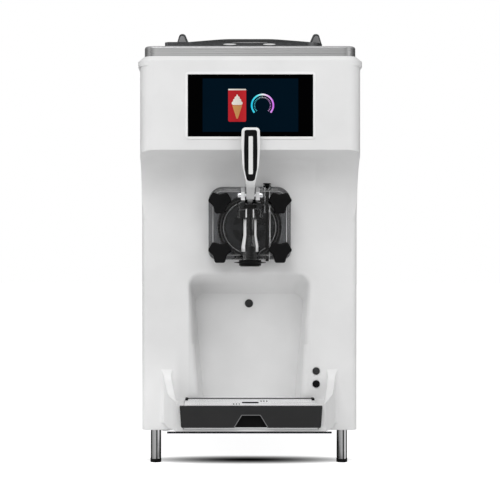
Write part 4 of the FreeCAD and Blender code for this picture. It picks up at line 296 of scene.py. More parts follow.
knobLook = {"color": (0.0068, 0.0068, 0.0072), "roughness": 0.34, "spread": 0.15, "grain": 1400.0,
            "depth": 0.00006, "edge": 0.0008, "specular": 0.07}
inlayLook = {"color": (0.008, 0.008, 0.0085), "roughness": 0.5, "spread": 0.2, "grain": 1100.0,
             "depth": 0.00008, "edge": 0.0004, "specular": 0.03}
trayLook = {"color": (0.030, 0.030, 0.0305), "roughness": 0.5, "spread": 0.06, "grain": 1000.0,
            "depth": 0.00005, "edge": 0.0006, "specular": 0.09}
buttonLook = {"color": (0.03, 0.03, 0.031), "roughness": 0.4, "spread": 0.08, "grain": 1500.0,
              "depth": 0.00002, "edge": 0.0004, "specular": 0.25}
rubberLook = {"color": (0.010, 0.010, 0.010), "roughness": 0.8, "spread": 0.2, "grain": 700.0,
              "depth": 0.00008, "specular": 0.15}
knobBlack = mouldedFinish("knobBlack", **knobLook)
inlayBlack = mouldedFinish("inlayBlack", **inlayLook)
trayCharcoal = mouldedFinish("trayCharcoal", **trayLook)


def darken(mat, dark, tests):
    # paints shade: the colour gives way to dark where every test on Object x, y or z holds
    tree = mat.node_tree
    at = axes(tree)
    inside = 1.0
    for axis, kind, limit in tests:
        value = calc(tree, "ABSOLUTE", at[axis]) if kind == "WITHIN" else at[axis]
        test = calc(tree, "GREATER_THAN" if kind == "ABOVE" else "LESS_THAN", value, limit)
        inside = times(tree, test, inside)
    paintOver(mat, inside, dark)


# painted shade: the finger pull's recess is darkened against the face around it, and the grate is darkened
# below its top face, inside its holes
recessShadeLook = {"dark": (0.003, 0.003, 0.003), "into": 0.0006, "half": 0.0275, "top": 0.0995}
holeShadeLook = {"dark": (0.012, 0.012, 0.012), "drop": 0.0003}
darken(trayCharcoal, recessShadeLook["dark"], [
    ("Y", "ABOVE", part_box("tray_front")[0][1] + recessShadeLook["into"]),
    ("X", "WITHIN", recessShadeLook["half"]),
    ("Z", "BELOW", recessShadeLook["top"])])
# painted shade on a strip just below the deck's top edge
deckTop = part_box("top_deck")[1][2]
darken(deckSteel, deckLook["edge"], [("Z", "ABOVE", deckTop - deckLook["edgeDrop"]),
                                     ("Z", "BELOW", deckTop - deckLook["edgeGap"])])
darken(grateSteel, holeShadeLook["dark"], [("Z", "BELOW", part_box("drip_grate")[1][2] - holeShadeLook["drop"])])
buttonGrey = mouldedFinish("buttonGrey", **buttonLook)
rubberBlack = mouldedFinish("rubberBlack", **rubberLook)
wear(["upper_left_knob", "upper_right_knob", "lower_left_knob", "lower_right_knob", "star_nozzle"], knobBlack)
wear(["draw_valve", "prime_plug", "lower_button", "power_inlet", "display_module", "fan"], knobBlack)
wear("grip_inlay", inlayBlack)
wear("tray_front", trayCharcoal)
wear(["upper_button", "cup_sensor"], buttonGrey)
wear(["feet", "valve_seals", "shaft_seal", "drive_belt"], rubberBlack)
sealGrey = mouldedFinish("sealGrey", (0.92, 0.92, 0.925), 0.5, spread=0.1, grain=700.0, depth=0.00004)
wear("door_gasket", sealGrey)

leverWhite = mouldedFinish("leverWhite", (0.82, 0.82, 0.82), 0.26, spread=0.02, grain=1600.0, depth=0.00001,
                           edge=0.0012)
plainWhite = mouldedFinish("plainWhite", (0.80, 0.80, 0.79), 0.4, spread=0.02, grain=900.0, depth=0.00003)
neckShadeLook = {"tone": (0.63, 0.63, 0.63), "from": 0.4780, "to": 0.4700}


def paintedNeckShade(mat, look):
    # painted shade: the lever's neck is darkened below the grip
    tree = mat.node_tree
    paintOver(mat, rise(tree, axes(tree)["Z"], look["from"], look["to"]), look["tone"])


paintedNeckShade(leverWhite, neckShadeLook)
wear("draw_lever", leverWhite)
wear(["grip_strip", "feed_tube", "scraper_blades", "insulation"], plainWhite)

ironBlack = mouldedFinish("ironBlack", (0.02, 0.02, 0.021), 0.5, spread=0.25, grain=350.0, depth=0.0002)
wear(["compressor", "drive_motor", "fan_motor"], ironBlack)
castAluminium = brushedFinish("castAluminium", (0.62, 0.63, 0.64), 0.42, (240.0, 240.0, 240.0), spread=0.12)
wear(["condenser", "gear_reducer", "reducer_pulley", "motor_pulley", "power_unit"], castAluminium)
drawnCopper = brushedFinish("drawnCopper", (0.72, 0.36, 0.20), 0.3, (80.0, 80.0, 80.0), spread=0.18)
wear("refrigerant_lines", drawnCopper)
boardGreen = mouldedFinish("boardGreen", (0.01, 0.12, 0.05), 0.45, spread=0.3, grain=400.0, depth=0.0001)
wear("control_board", boardGreen)

# smoky clear door and the lid's clear grey, with faint flow lines from the mould
doorLook = {"tint": (0.40, 0.405, 0.415), "clear": 1.0, "roughness": 0.04, "ior": 1.49,
            "paintedLight": (0.55, 0.55, 0.56), "paleSide": 0.0605, "paleTop": 0.4565, "paleSoft": 0.002}
lidLook = {"tint": (0.17, 0.174, 0.182), "clear": 0.72, "roughness": 0.05, "ior": 1.49}
flowLook = {"stretch": (1, 1, 0.25), "scale": 90.0, "spread": 0.06, "depth": 0.000015, "grain": 240.0,
            "roughSpan": (0.02, 0.07)}


def clearFinish(name, look):
    mat, tree, shader = newFinish(name, look["tint"], look["roughness"])
    shader.inputs["Transmission Weight"].default_value = look["clear"]
    shader.inputs["IOR"].default_value = look["ior"]
    flow = noise(tree, objectPoint(tree, flowLook["stretch"]), flowLook["scale"])
    tint = shades(tree, flow, around(look["tint"], flowLook["spread"]))
    drive(shader, "Base Color", tint)
    rough = span(tree, noise(tree, objectPoint(tree), flowLook["grain"]), *flowLook["roughSpan"])
    drive(shader, "Roughness", rough)
    bump(tree, shader, flow, flowLook["depth"])
    return mat


def paintedEdgeLight(mat, look):
    # painted light: the plate is lightened towards its upper and side edges
    tree = mat.node_tree
    at = axes(tree)
    side = calc(tree, "ABSOLUTE", at["X"])
    beside = rise(tree, side, look["paleSide"], look["paleSide"] + look["paleSoft"])
    above = rise(tree, at["Z"], look["paleTop"], look["paleTop"] + look["paleSoft"])
    paintOver(mat, calc(tree, "MAXIMUM", beside, above), look["paintedLight"])


smokyClear = clearFinish("smokyClear", doorLook)
paintedEdgeLight(smokyClear, doorLook)
wear("dispensing_door", smokyClear)
wear("hopper_lid", clearFinish("lidGrey", lidLook))

# touch glass: black border, dark navy live area
glassLook = {"border": (0.0004, 0.0004, 0.0005), "live": (0.0003, 0.0030, 0.0065), "roughness": 0.08,
             "specular": 0.012, "width": 0.155, "height": 0.0865, "middle": 0.5965, "cloud": 12.0,
             "glow": (0.85, 1.15), "grain": 60.0, "roughSpan": (0.06, 0.10)}


def screenFinish(name, look):
    mat, tree, shader = newFinish(name, look["border"], look["roughness"], 0.0, look["specular"])
    point = objectPoint(tree)
    at = axes(tree, point)
    across = calc(tree, "ABSOLUTE", at["X"])
    up = calc(tree, "ABSOLUTE", calc(tree, "SUBTRACT", at["Z"], look["middle"]))
    inside = times(tree, calc(tree, "LESS_THAN", across, look["width"] / 2),
                   calc(tree, "LESS_THAN", up, look["height"] / 2))
    glow = span(tree, noise(tree, point, look["cloud"]), *look["glow"])
    values = {"Factor": inside, "A": (*look["border"], 1), "B": (*look["live"], 1)}
    tint = add(tree, "ShaderNodeMix", values, data_type="RGBA")["Result"]
    drive(shader, "Base Color", tint)
    drive(shader, "Emission Color", tint)
    drive(shader, "Emission Strength", times(tree, inside, glow))
    rough = span(tree, noise(tree, point, look["grain"]), *look["roughSpan"])
    drive(shader, "Roughness", rough)
    return mat


wear("touch_glass", screenFinish("screenGlass", glassLook))
print("finishes set on", len(nodes), "nodes")

# pieces made here keep their place in the mesh and sit at the origin


def intoScene(name, data):
    obj = bpy.data.objects.new(name, data)
    bpy.context.scene.collection.objects.link(obj)
    return obj


def place(name, mesh, body, mat=None):
    obj = intoScene(name, mesh)
    if mat:
        mesh.materials.append(mat)
    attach(obj, body)
    return obj


def roundedOutline(left, low, right, high, radius, steps=6):
    points = []
    for middle, turn in (((right - radius, high - radius), 0), ((left + radius, high - radius), 90),
                         ((left + radius, low + radius), 180), ((right - radius, low + radius), 270)):
        for i in range(steps + 1):
            angle = math.radians(turn + 90 * i / steps)
            points.append((middle[0] + radius * math.cos(angle), middle[1] + radius * math.sin(angle)))
    return points


def meshOf(name, bm):
    bmesh.ops.recalc_face_normals(bm, faces=bm.faces)
    mesh = bpy.data.meshes.new(name)
    bm.to_mesh(mesh)
    bm.free()
    return mesh


def platesMesh(name, outlines, front, back):
    # upright plates facing the front, from outlines in x and z
    bm = bmesh.new()
    for outline in outlines:
        near = [bm.verts.new((x, front, z)) for x, z in outline]
        far = [bm.verts.new((x, back, z)) for x, z in outline]
        bm.faces.new(near)
        bm.faces.new(far[::-1])
        for i in range(len(outline)):
            j = (i + 1) % len(outline)
            bm.faces.new((near[j], near[i], far[i], far[j]))
    return meshOf(name, bm)


def newTree(name, sockets):
    tree = bpy.data.node_groups.new(name, "GeometryNodeTree")
    tree.interface.new_socket("Geometry", in_out="INPUT", socket_type="NodeSocketGeometry")
    for label, kind in sockets.items():
        tree.interface.new_socket(label, in_out="INPUT", socket_type="NodeSocket" + kind)
    tree.interface.new_socket("Geometry", in_out="OUTPUT", socket_type="NodeSocketGeometry")
    start = tree.nodes.new("NodeGroupInput")
    end = tree.nodes.new("NodeGroupOutput")
    return tree, start.outputs, end.inputs


def close(tree, end, geometry, finish):
    real = add(tree, "GeometryNodeRealizeInstances", {"Geometry": geometry})["Geometry"]
    done = add(tree, "GeometryNodeSetMaterial", {"Geometry": real, "Material": finish})["Geometry"]
    tree.links.new(done, end["Geometry"])


def spotsMesh(name, spots):
    # one vertex per spot, with the way it faces
    mesh = bpy.data.meshes.new(name)
    mesh.from_pydata([at for at, way in spots], [], [])
    facing = mesh.attributes.new("facing", "FLOAT_VECTOR", "POINT")
    for i, (at, way) in enumerate(spots):
        facing.data[i].vector = way
    return mesh


def grow(name, carrier, tree, values):
    # runs a tree on its carrier and keeps only the plain mesh
    obj = intoScene(name + "Carrier", carrier)
    modifier = obj.modifiers.new(name, "NODES")
    modifier.node_group = tree
    for item in tree.interface.items_tree:
        if item.in_out == "INPUT" and item.name in values:
            modifier[item.identifier] = values[item.name]
    ready = obj.evaluated_get(bpy.context.evaluated_depsgraph_get())
    mesh = bpy.data.meshes.new_from_object(ready)
    mesh.name = name
    obj.modifiers.remove(modifier)
    bpy.data.objects.remove(obj)
    return mesh


def onSpots(tree, start, instance, axis, pivot):
    facing = add(tree, "GeometryNodeInputNamedAttribute", {"Name": "facing"}, data_type="FLOAT_VECTOR")
    turn = add(tree, "FunctionNodeAlignRotationToVector", {"Vector": facing["Attribute"]}, axis=axis,
               pivot_axis=pivot)
    return add(tree, "GeometryNodeInstanceOnPoints",
               {"Points": start["Geometry"], "Instance": instance, "Rotation": turn["Rotation"]})["Instances"]


# pressed hoods over the cooling slots in the sides and the back
hoodLook = {"height": 0.0086, "proud": 0.0030, "wall": 0.0009, "over": 0.0008, "beyond": 0.003,
            "length": 0.110, "slot": 0.005, "pitch": 0.014, "low": 0.101, "sideRows": 12, "rearRows": 14,
            "sideMiddle": 0.165, "ends": 10.0, "rowsAlong": 25, "rowsUp": 9}


def hoodTree(look):
    tree, start, end = newTree("slotHoods", {"Length": "Float", "Height": "Float", "Proud": "Float",
                                             "Wall": "Float", "Finish": "Material"})
    size = add(tree, "ShaderNodeCombineXYZ", {"X": start["Wall"], "Y": start["Length"], "Z": start["Height"]})
    sheet = add(tree, "GeometryNodeMeshCube", {"Size": size["Vector"], "Vertices X": 2,
                                               "Vertices Y": look["rowsAlong"],
                                               "Vertices Z": look["rowsUp"]})["Mesh"]
    where = axes(tree, add(tree, "GeometryNodeInputPosition", {})["Position"])
    up = calc(tree, "ADD", calc(tree, "DIVIDE", where["Z"], start["Height"]), 0.5)
    belly = calc(tree, "COSINE", times(tree, up, math.pi / 2))
    half = times(tree, start["Length"], 0.5)
    along = calc(tree, "ABSOLUTE", calc(tree, "DIVIDE", where["Y"], half))
    ends = calc(tree, "SUBTRACT", 1.0, calc(tree, "POWER", along, look["ends"]))
    out = times(tree, belly, ends, start["Proud"])
    push = add(tree, "ShaderNodeCombineXYZ", {"X": out})["Vector"]
    hood = add(tree, "GeometryNodeSetPosition", {"Geometry": sheet, "Offset": push})["Geometry"]
    close(tree, end, onSpots(tree, start, hood, "X", "Z"), start["Finish"])
    return tree


def slotHoods(look):
    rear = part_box("rear_panel")[1][1]
    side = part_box("right_side_panel")[1][0]
    rise = look["slot"] / 2 + look["over"]
    spots = []
    for i in range(look["sideRows"]):
        z = look["low"] + i * look["pitch"] + rise
        for way in (-1, 1):
            spots.append(((way * side, look["sideMiddle"], z), (way, 0, 0)))
    for i in range(look["rearRows"]):
        z = look["low"] + i * look["pitch"] + rise
        for way in (-1, 1):
            spots.append(((way * (look["pitch"] + look["length"]) / 2, rear, z), (0, 1, 0)))
    mesh = grow("slotHoods", spotsMesh("slotSpots", spots), hoodTree(look),
                {"Length": look["length"] + look["beyond"], "Height": look["height"], "Proud": look["proud"],
                 "Wall": look["wall"], "Finish": panelWhite})
    return place("slotHoods", mesh, "cabinet")


slotHoods(hoodLook)

# cross-head screws along the edges of the side and rear panels
screwLook = {"radius": 0.0036, "rise": 0.5, "inset": 0.012, "sideRows": (0.085, 0.36, 0.635),
             "sideFrom": -0.13, "sideTo": 0.29, "rearRows": (0.085, 0.27, 0.455, 0.64),
             "crossLong": 1.15, "crossWide": 0.24, "segments": 20, "rings": 10}


def screwTree(look):
    tree, start, end = newTree("panelScrews", {"Radius": "Float", "Rise": "Float", "Finish": "Material"})
    ball = add(tree, "GeometryNodeMeshUVSphere", {"Segments": look["segments"], "Rings": look["rings"],
                                                  "Radius": start["Radius"]})["Mesh"]
    flat = add(tree, "ShaderNodeCombineXYZ", {"X": 1.0, "Y": 1.0, "Z": start["Rise"]})["Vector"]
    head = add(tree, "GeometryNodeTransform", {"Geometry": ball, "Scale": flat})["Geometry"]
    long = times(tree, start["Radius"], look["crossLong"])
    thin = times(tree, start["Radius"], look["crossWide"])
    top = times(tree, start["Radius"], start["Rise"])
    bars = []
    for wide, deep in ((long, thin), (thin, long)):
        size = add(tree, "ShaderNodeCombineXYZ", {"X": wide, "Y": deep, "Z": top})["Vector"]
        bar = add(tree, "GeometryNodeMeshCube", {"Size": size})["Mesh"]
        lift = add(tree, "ShaderNodeCombineXYZ", {"Z": top})["Vector"]
        bars.append(add(tree, "GeometryNodeTransform", {"Geometry": bar, "Translation": lift})["Geometry"])
    once = add(tree, "GeometryNodeMeshBoolean", {0: head, 1: bars[0]}, operation="DIFFERENCE")["Mesh"]
    cut = add(tree, "GeometryNodeMeshBoolean", {0: once, 1: bars[1]}, operation="DIFFERENCE")["Mesh"]
    close(tree, end, onSpots(tree, start, cut, "Z", "AUTO"), start["Finish"])
    return tree


def panelScrews(look):
    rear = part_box("rear_panel")
    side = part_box("right_side_panel")[1][0]
    spots = []
    for z in look["sideRows"]:
        for way in (-1, 1):
            for y in (look["sideFrom"], look["sideTo"]):
                spots.append(((way * side, y, z), (way, 0, 0)))
    for z in look["rearRows"]:
        for x in (rear[0][0] + look["inset"], rear[1][0] - look["inset"]):
            spots.append(((x, rear[1][1], z), (0, 1, 0)))
    mesh = grow("panelScrews", spotsMesh("screwSpots", spots), screwTree(look),
                {"Radius": look["radius"], "Rise": look["rise"], "Finish": polishedSteel})
    return place("panelScrews", mesh, "cabinet")


panelScrews(screwLook)
print("panel hoods and screws made")

# screen picture: a tile with a plain cone beside an open dial, flat on the glass
dialLook = {"radius": 0.0175, "width": 0.0027, "thick": 0.00012, "across": 0.0195, "height": 0.5962,
            "ticks": 25, "tickLength": 0.0022, "tickWidth": 0.0006, "tickGap": 0.0045, "sweep": 264.0,
            "smooth": 72,
            "stops": [(0.0, (0.01, 0.62, 0.86)), (0.28, (0.12, 0.80, 0.88)), (0.5, (0.90, 0.95, 0.97)),
                      (0.75, (0.84, 0.50, 0.92)), (1.0, (0.66, 0.16, 0.86))]}
glowLook = {"color": (0.01, 0.01, 0.012), "roughness": 0.25, "specular": 0.05, "grain": 900.0,
            "level": (0.88, 1.0)}


def dialTree(look):
    tree, start, end = newTree("screenDial", {
        "Radius": "Float", "Width": "Float", "Thick": "Float", "From": "Float", "Sweep": "Float",
        "Ticks": "Int", "Tick Length": "Float", "Tick Width": "Float", "Tick Gap": "Float",
        "Middle": "Vector", "Finish": "Material"})
    turn = {"Start Angle": start["From"], "Sweep Angle": start["Sweep"]}
    arc = add(tree, "GeometryNodeCurveArc", {"Resolution": look["smooth"], "Radius": start["Radius"],
                                             **turn})["Curve"]
    bar = add(tree, "GeometryNodeCurvePrimitiveQuadrilateral", {"Width": start["Width"],
                                                                "Height": start["Thick"]})["Curve"]
    band = add(tree, "GeometryNodeCurveToMesh", {"Curve": arc, "Profile Curve": bar,
                                                 "Fill Caps": True})["Mesh"]
    inner = calc(tree, "SUBTRACT", start["Radius"], start["Tick Gap"])
    scale = add(tree, "GeometryNodeCurveArc", {"Resolution": start["Ticks"], "Radius": inner,
                                               **turn})["Curve"]
    marks = add(tree, "GeometryNodeCurveToPoints", {"Curve": scale}, mode="EVALUATED")
    size = add(tree, "ShaderNodeCombineXYZ", {"X": start["Tick Length"], "Y": start["Thick"],
                                              "Z": start["Tick Width"]})["Vector"]
    mark = add(tree, "GeometryNodeMeshCube", {"Size": size})["Mesh"]
    ring = add(tree, "GeometryNodeInstanceOnPoints", {"Points": marks["Points"], "Instance": mark,
                                                      "Rotation": marks["Rotation"]})["Instances"]
    both = tree.nodes.new("GeometryNodeJoinGeometry")
    tree.links.new(band, both.inputs["Geometry"])
    tree.links.new(ring, both.inputs["Geometry"])
    upright = add(tree, "GeometryNodeTransform", {"Geometry": both.outputs["Geometry"],
                                                  "Translation": start["Middle"],
                                                  "Rotation": (math.pi / 2, 0, 0)})["Geometry"]
    close(tree, end, upright, start["Finish"])
    return tree


def glowFinish(name, stops, start, reach):
    # colours run across the piece in x, from start over reach
    mat, tree, shader = newFinish(name, glowLook["color"], glowLook["roughness"], 0.0, glowLook["specular"])
    point = objectPoint(tree)
    across = rise(tree, axes(tree, point)["X"], start, start + reach)
    drive(shader, "Emission Color", shades(tree, across, stops))
    level = span(tree, noise(tree, point, glowLook["grain"]), *glowLook["level"])
    drive(shader, "Emission Strength", level)
    return mat


def screenDial(look):
    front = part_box("touch_glass")[0][1] - look["thick"] / 2
    glow = glowFinish("dialGlow", look["stops"], look["across"] - look["radius"], 2 * look["radius"])
    mesh = grow("screenDial", bpy.data.meshes.new("screenDial"), dialTree(look), {
        "Radius": look["radius"], "Width": look["width"], "Thick": look["thick"],
        "From": math.radians(90 - look["sweep"] / 2), "Sweep": math.radians(look["sweep"]),
        "Ticks": look["ticks"], "Tick Length": look["tickLength"], "Tick Width": look["tickWidth"],
        "Tick Gap": look["tickGap"], "Middle": (look["across"], front, look["height"]), "Finish": glow})
    place("screenDial", mesh, "cabinet")


screenDial(dialLook)
# swirl rows are half width, base and height; tip and cone run from base to end, half width and place
# a stripe's or swirl's corner radius is its height over the cut
tileLook = {"across": -0.0215, "half": 0.0146, "low": 0.5696, "high": 0.6228, "round": 0.0026,
            "thick": 0.0002, "glyph": 0.00012, "stripe": 0.0022, "stripeCut": 2.1, "swirlCut": 2.05,
            "swirl": ((0.0088, 0.5968, 0.0058), (0.0066, 0.6014, 0.0054), (0.0042, 0.6056, 0.0050)),
            "tip": (0.0022, 0.6098, 0.0006, 0.6136), "cone": (0.0080, 0.5962, 0.0012, 0.5748),
            "red": [(0.0, (0.46, 0.008, 0.014)), (0.5, (0.40, 0.006, 0.010)), (1.0, (0.50, 0.012, 0.016))],
            "cream": [(0.0, (0.82, 0.80, 0.74)), (1.0, (0.62, 0.56, 0.50))],
            "wafer": [(0.0, (0.60, 0.30, 0.10)), (1.0, (0.44, 0.20, 0.06))]}


def screenTile(look):
    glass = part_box("touch_glass")[0][1]
    face = glass - look["thick"]
    proud = face - look["glyph"]
    middle, low, high = look["across"], look["low"], look["high"]
    left, right = middle - look["half"], middle + look["half"]

    def taper(base, foot, end, top):
        return [(middle - base, foot), (middle + base, foot), (middle + end, top), (middle - end, top)]

    def picture(name, outlines, front, back, stops):
        glow = glowFinish(name + "Glow", stops, left, right - left)
        place(name, platesMesh(name, outlines, front, back), "cabinet", glow)

    tile = roundedOutline(left, low, right, high, look["round"])
    picture("screenTile", [tile], face, glass, look["red"])
    stripe = look["stripe"]
    swirl = [roundedOutline(left, high - stripe, right, high, stripe / look["stripeCut"])]
    for wide, z, tall in look["swirl"]:
        swirl.append(roundedOutline(middle - wide, z, middle + wide, z + tall, tall / look["swirlCut"]))
    swirl.append(taper(*look["tip"]))
    picture("screenSwirl", swirl, proud, face, look["cream"])
    picture("screenCone", [taper(*look["cone"])], proud, face, look["wafer"])


screenTile(tileLook)
print("screen picture made")

# painted highlight: a light grey edge round the tray's finger pull
pullLook = {"top": 0.0145, "bottom": 0.0265, "height": 0.0195, "edge": 0.0013, "proud": 0.0003,
            "into": 0.0004}


def trayPullEdge(look):
    low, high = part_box("tray_front")
    foot, face = low[2], low[1]
    slope = (look["bottom"] - look["top"]) / look["height"]
    edge = look["edge"]
    lean = edge * math.hypot(1, slope)
    head = foot + look["height"]
    inner = [(look["bottom"], foot), (look["top"], head), (-look["top"], head), (-look["bottom"], foot)]
    top = look["top"] + lean - slope * edge
    outer = [(-look["bottom"] - lean, foot), (-top, head + edge), (top, head + edge),
             (look["bottom"] + lean, foot)]
    strips = [[inner[i], inner[i + 1], outer[2 - i], outer[3 - i]] for i in range(3)]
    edgeGrey = mouldedFinish("edgeGrey", (0.16, 0.16, 0.163), 0.4, spread=0.08, grain=1200.0, depth=0.00002)
    place("trayPullEdge", platesMesh("trayPullEdge", strips, face - look["proud"], face + look["into"]),
          "drip_tray", edgeGrey)


trayPullEdge(pullLook)

# painted shade: a black strip along the grate's rear edge and black pads at its rear corners stand for the
# shadow line and dark notches there, and the base pan's lip under the front is coloured dark as the shadow
# line below the body
grateShadeLook = {"wide": 0.0016, "tall": 0.0014, "sunk": 0.0002, "padWide": 0.0046, "padDeep": 0.026,
            "padTall": 0.0024, "bevel": 0.0002, "padBevel": 0.0006}
panLook = {"half": 0.138, "low": 0.0545, "high": 0.0578, "front": -0.1915, "thick": 0.0015, "bevel": 0.0003}


def barsMesh(name, bars, bevel):
    bm = bmesh.new()
    for low, high in bars:
        made = bmesh.ops.create_cube(bm, size=1.0)["verts"]
        for v in made:
            for k in range(3):
                v.co[k] = (low[k] + high[k]) / 2 + v.co[k] * (high[k] - low[k])
        edges = {e for v in made for e in v.link_edges}
        bmesh.ops.bevel(bm, geom=list(edges), offset=bevel, segments=2, affect="EDGES", profile=0.5)
    return meshOf(name, bm)


def grateShadowStrip(look):
    low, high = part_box("drip_grate")
    rear, top = high[1], high[2]
    sunk = top - look["sunk"]
    strip = [((low[0], rear - look["wide"], sunk), (high[0], rear, top + look["tall"]))]
    place("grateShadowStrip", barsMesh("grateShadowStrip", strip, look["bevel"]), "drip_grate", rubberBlack)
    pads = []
    for x in (low[0], high[0] - look["padWide"]):
        pads.append(((x, rear - look["padDeep"], sunk),
                     (x + look["padWide"], rear - look["wide"], top + look["padTall"])))
    mesh = barsMesh("gratePads", pads, look["padBevel"])
    place("gratePads", mesh, "drip_grate", rubberBlack)


def panLip(look):
    lip = [((-look["half"], look["front"], look["low"]),
            (look["half"], look["front"] + look["thick"], look["high"]))]
    panLipShade = brushedFinish("panLipShade", (0.05, 0.05, 0.052), 0.45, (4.0, 500.0, 500.0), spread=0.2)
    place("panLip", barsMesh("panLip", lip, look["bevel"]), "cabinet", panLipShade)


panLip(panLook)
grateShadowStrip(grateShadeLook)
print("tray trim made")

# polished lip at the mouth of the freezing cylinder, seen through the door, coloured near white as a painted
# highlight
lipLook = {"radius": 0.0436, "section": 0.0007, "behind": 0.0012, "turns": 96, "sides": 10}
highlightSteel = brushedFinish("highlightSteel", (0.95, 0.95, 0.95), 0.45, (200.0, 200.0, 200.0), spread=0.03,
                         metallic=0.2)


def barrelLip(look):
    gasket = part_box("door_gasket")
    middle = (gasket[0][2] + gasket[1][2]) / 2
    turns, sides = look["turns"], look["sides"]
    bm = bmesh.new()
    rings = []
    for i in range(turns):
        a = 2 * math.pi * i / turns
        ring = []
        for j in range(sides):
            b = 2 * math.pi * j / sides
            r = look["radius"] + look["section"] * math.cos(b)
            y = gasket[0][1] + look["behind"] + look["section"] * math.sin(b)
            ring.append(bm.verts.new((r * math.cos(a), y, middle + r * math.sin(a))))
        rings.append(ring)
    for i in range(turns):
        for j in range(sides):
            k, n = (i + 1) % turns, (j + 1) % sides
            bm.faces.new((rings[i][j], rings[k][j], rings[k][n], rings[i][n])).smooth = True
    return place("barrelLip", meshOf("barrelLip", bm), "cabinet", highlightSteel)


barrelLip(lipLook)

# collar under the prime plug's cap, the passage that runs down the door from it, and beside the passage a
# thin near-white rod, a painted highlight for its bright edge
primeLook = {"collar": 0.0064, "collarLow": 0.4672, "collarTall": 0.0020, "passage": 0.0026, "foot": 0.0050,
             "gap": 0.0002, "glint": 0.0009, "glintAside": 0.0036, "glintUp": 0.006, "steps": 24}


def roundBarMesh(name, middle, radius, low, high, steps):
    bm = bmesh.new()
    turns = [2 * math.pi * i / steps for i in range(steps)]
    rings = []
    for z in (low, high):
        rings.append([bm.verts.new((middle[0] + radius * math.cos(a), middle[1] + radius * math.sin(a), z))
                      for a in turns])
    bm.faces.new(rings[0][::-1])
    bm.faces.new(rings[1])
    for i in range(steps):
        j = (i + 1) % steps
        bm.faces.new((rings[0][i], rings[0][j], rings[1][j], rings[1][i])).smooth = True
    return meshOf(name, bm)


def primePassage(look):
    low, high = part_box("prime_plug")
    middle = ((low[0] + high[0]) / 2, (low[1] + high[1]) / 2)
    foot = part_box("dispensing_door")[0][2] + look["foot"]
    collar = roundBarMesh("primeCollar", middle, look["collar"], look["collarLow"],
                          look["collarLow"] + look["collarTall"], look["steps"])
    place("primeCollar", collar, "prime_plug", knobBlack)
    passage = roundBarMesh("primePassage", middle, look["passage"], foot, low[2] - look["gap"], look["steps"])
    place("primePassage", passage, "cabinet", knobBlack)
    beside = (middle[0] + look["glintAside"], middle[1])
    glint = roundBarMesh("primeGlintRod", beside, look["glint"], foot, low[2] + look["glintUp"], look["steps"])
    place("primeGlintRod", glint, "cabinet", highlightSteel)


primePassage(primeLook)

# painted highlights on the clear door: bright strips on the valve column's flanks, the yoke and the plate's
# rim, and faint lines on the rims of the gasket groove
# bars are place in x, width, front, foot and head
glintLook = {"axis": -0.238, "proud": 0.00025, "sunk": 0.0004, "steps": 8,
             "flanks": ((-1, 31.0, 60.0), (1, 34.0, 54.0)),
             "column": ((0.4120, 0.01250), (0.3860, 0.01250), (0.3680, 0.01630), (0.3590, 0.01630)),
             "bars": ((-0.0076, 0.0021, -0.2522, 0.4150, 0.4285), (0.0043, 0.0017, -0.2522, 0.4150, 0.4285),
                      (0.0330, 0.0012, -0.2157, 0.3540, 0.4360)),
             "barThick": 0.0006, "barBevel": 0.0002}
rimLook = {"tall": 0.121, "inset": 0.0070, "wide": 0.0009, "round": 0.0165, "front": -0.2155,
           "proud": 0.0002, "sunk": 0.0003, "rings": (0.0486, 0.0536), "ringWide": 0.0005, "ringSteps": 120}
pivotGlintLook = {"near": 0.0086, "far": 0.0153, "front": -0.2621, "back": -0.2592, "low": 0.4426, "split": 0.4564,
           "high": 0.4636, "bevel": 0.0008, "hornBack": 0.0006, "hornLap": 0.0004, "shadeHalf": 0.0098,
           "shadeLow": 0.4300, "shadeHigh": 0.4360, "shadeFront": -0.2532, "shadeBack": -0.2516,
           "shadeBevel": 0.0004}
glintClear = mouldedFinish("glintClear", (0.74, 0.74, 0.745), 0.18, spread=0.12, grain=600.0, depth=0.00001)
lineClear = mouldedFinish("lineClear", (0.16, 0.16, 0.165), 0.3, spread=0.15, grain=600.0, depth=0.00001)
dimGlintClear = mouldedFinish("dimGlintClear", (0.42, 0.42, 0.425), 0.2, spread=0.1, grain=600.0, depth=0.00001)


def flankMesh(look, side, start, stop):
    # a thin strip that follows the column and its flared foot between two angles from the front
    bm = bmesh.new()
    layers = []
    for shift in (look["proud"], -look["sunk"]):
        rows = []
        for z, radius in look["column"]:
            row = []
            for i in range(look["steps"] + 1):
                a = math.radians(start + (stop - start) * i / look["steps"])
                reach = radius + shift
                row.append(bm.verts.new((side * reach * math.sin(a), look["axis"] - reach * math.cos(a), z)))
            rows.append(row)
        layers.append(rows)
    last, end = len(look["column"]) - 1, look["steps"]
    for rows in layers:
        for k in range(last):
            for i in range(end):
                bm.faces.new((rows[k][i], rows[k][i + 1], rows[k + 1][i + 1], rows[k + 1][i])).smooth = True
    front, back = layers
    for k in range(last):
        for i in (0, end):
            bm.faces.new((front[k][i], front[k + 1][i], back[k + 1][i], back[k][i]))
    for i in range(end):
        for k in (0, last):
            bm.faces.new((front[k][i], front[k][i + 1], back[k][i + 1], back[k][i]))
    return meshOf("columnFlank", bm)


def frameMesh(name, pairs, front, back):
    # flat rings between an outer and an inner outline in x and z
    bm = bmesh.new()
    for outer, inner in pairs:
        rings = [[bm.verts.new((x, y, z)) for x, z in line] for line in (outer, inner) for y in (front, back)]
        outFront, outBack, inFront, inBack = rings
        for i in range(len(outer)):
            j = (i + 1) % len(outer)
            bm.faces.new((outFront[i], outFront[j], inFront[j], inFront[i]))
            bm.faces.new((outBack[j], outBack[i], inBack[i], inBack[j]))
            bm.faces.new((outFront[j], outFront[i], outBack[i], outBack[j]))
            bm.faces.new((inFront[i], inFront[j], inBack[j], inBack[i]))
    return meshOf(name, bm)


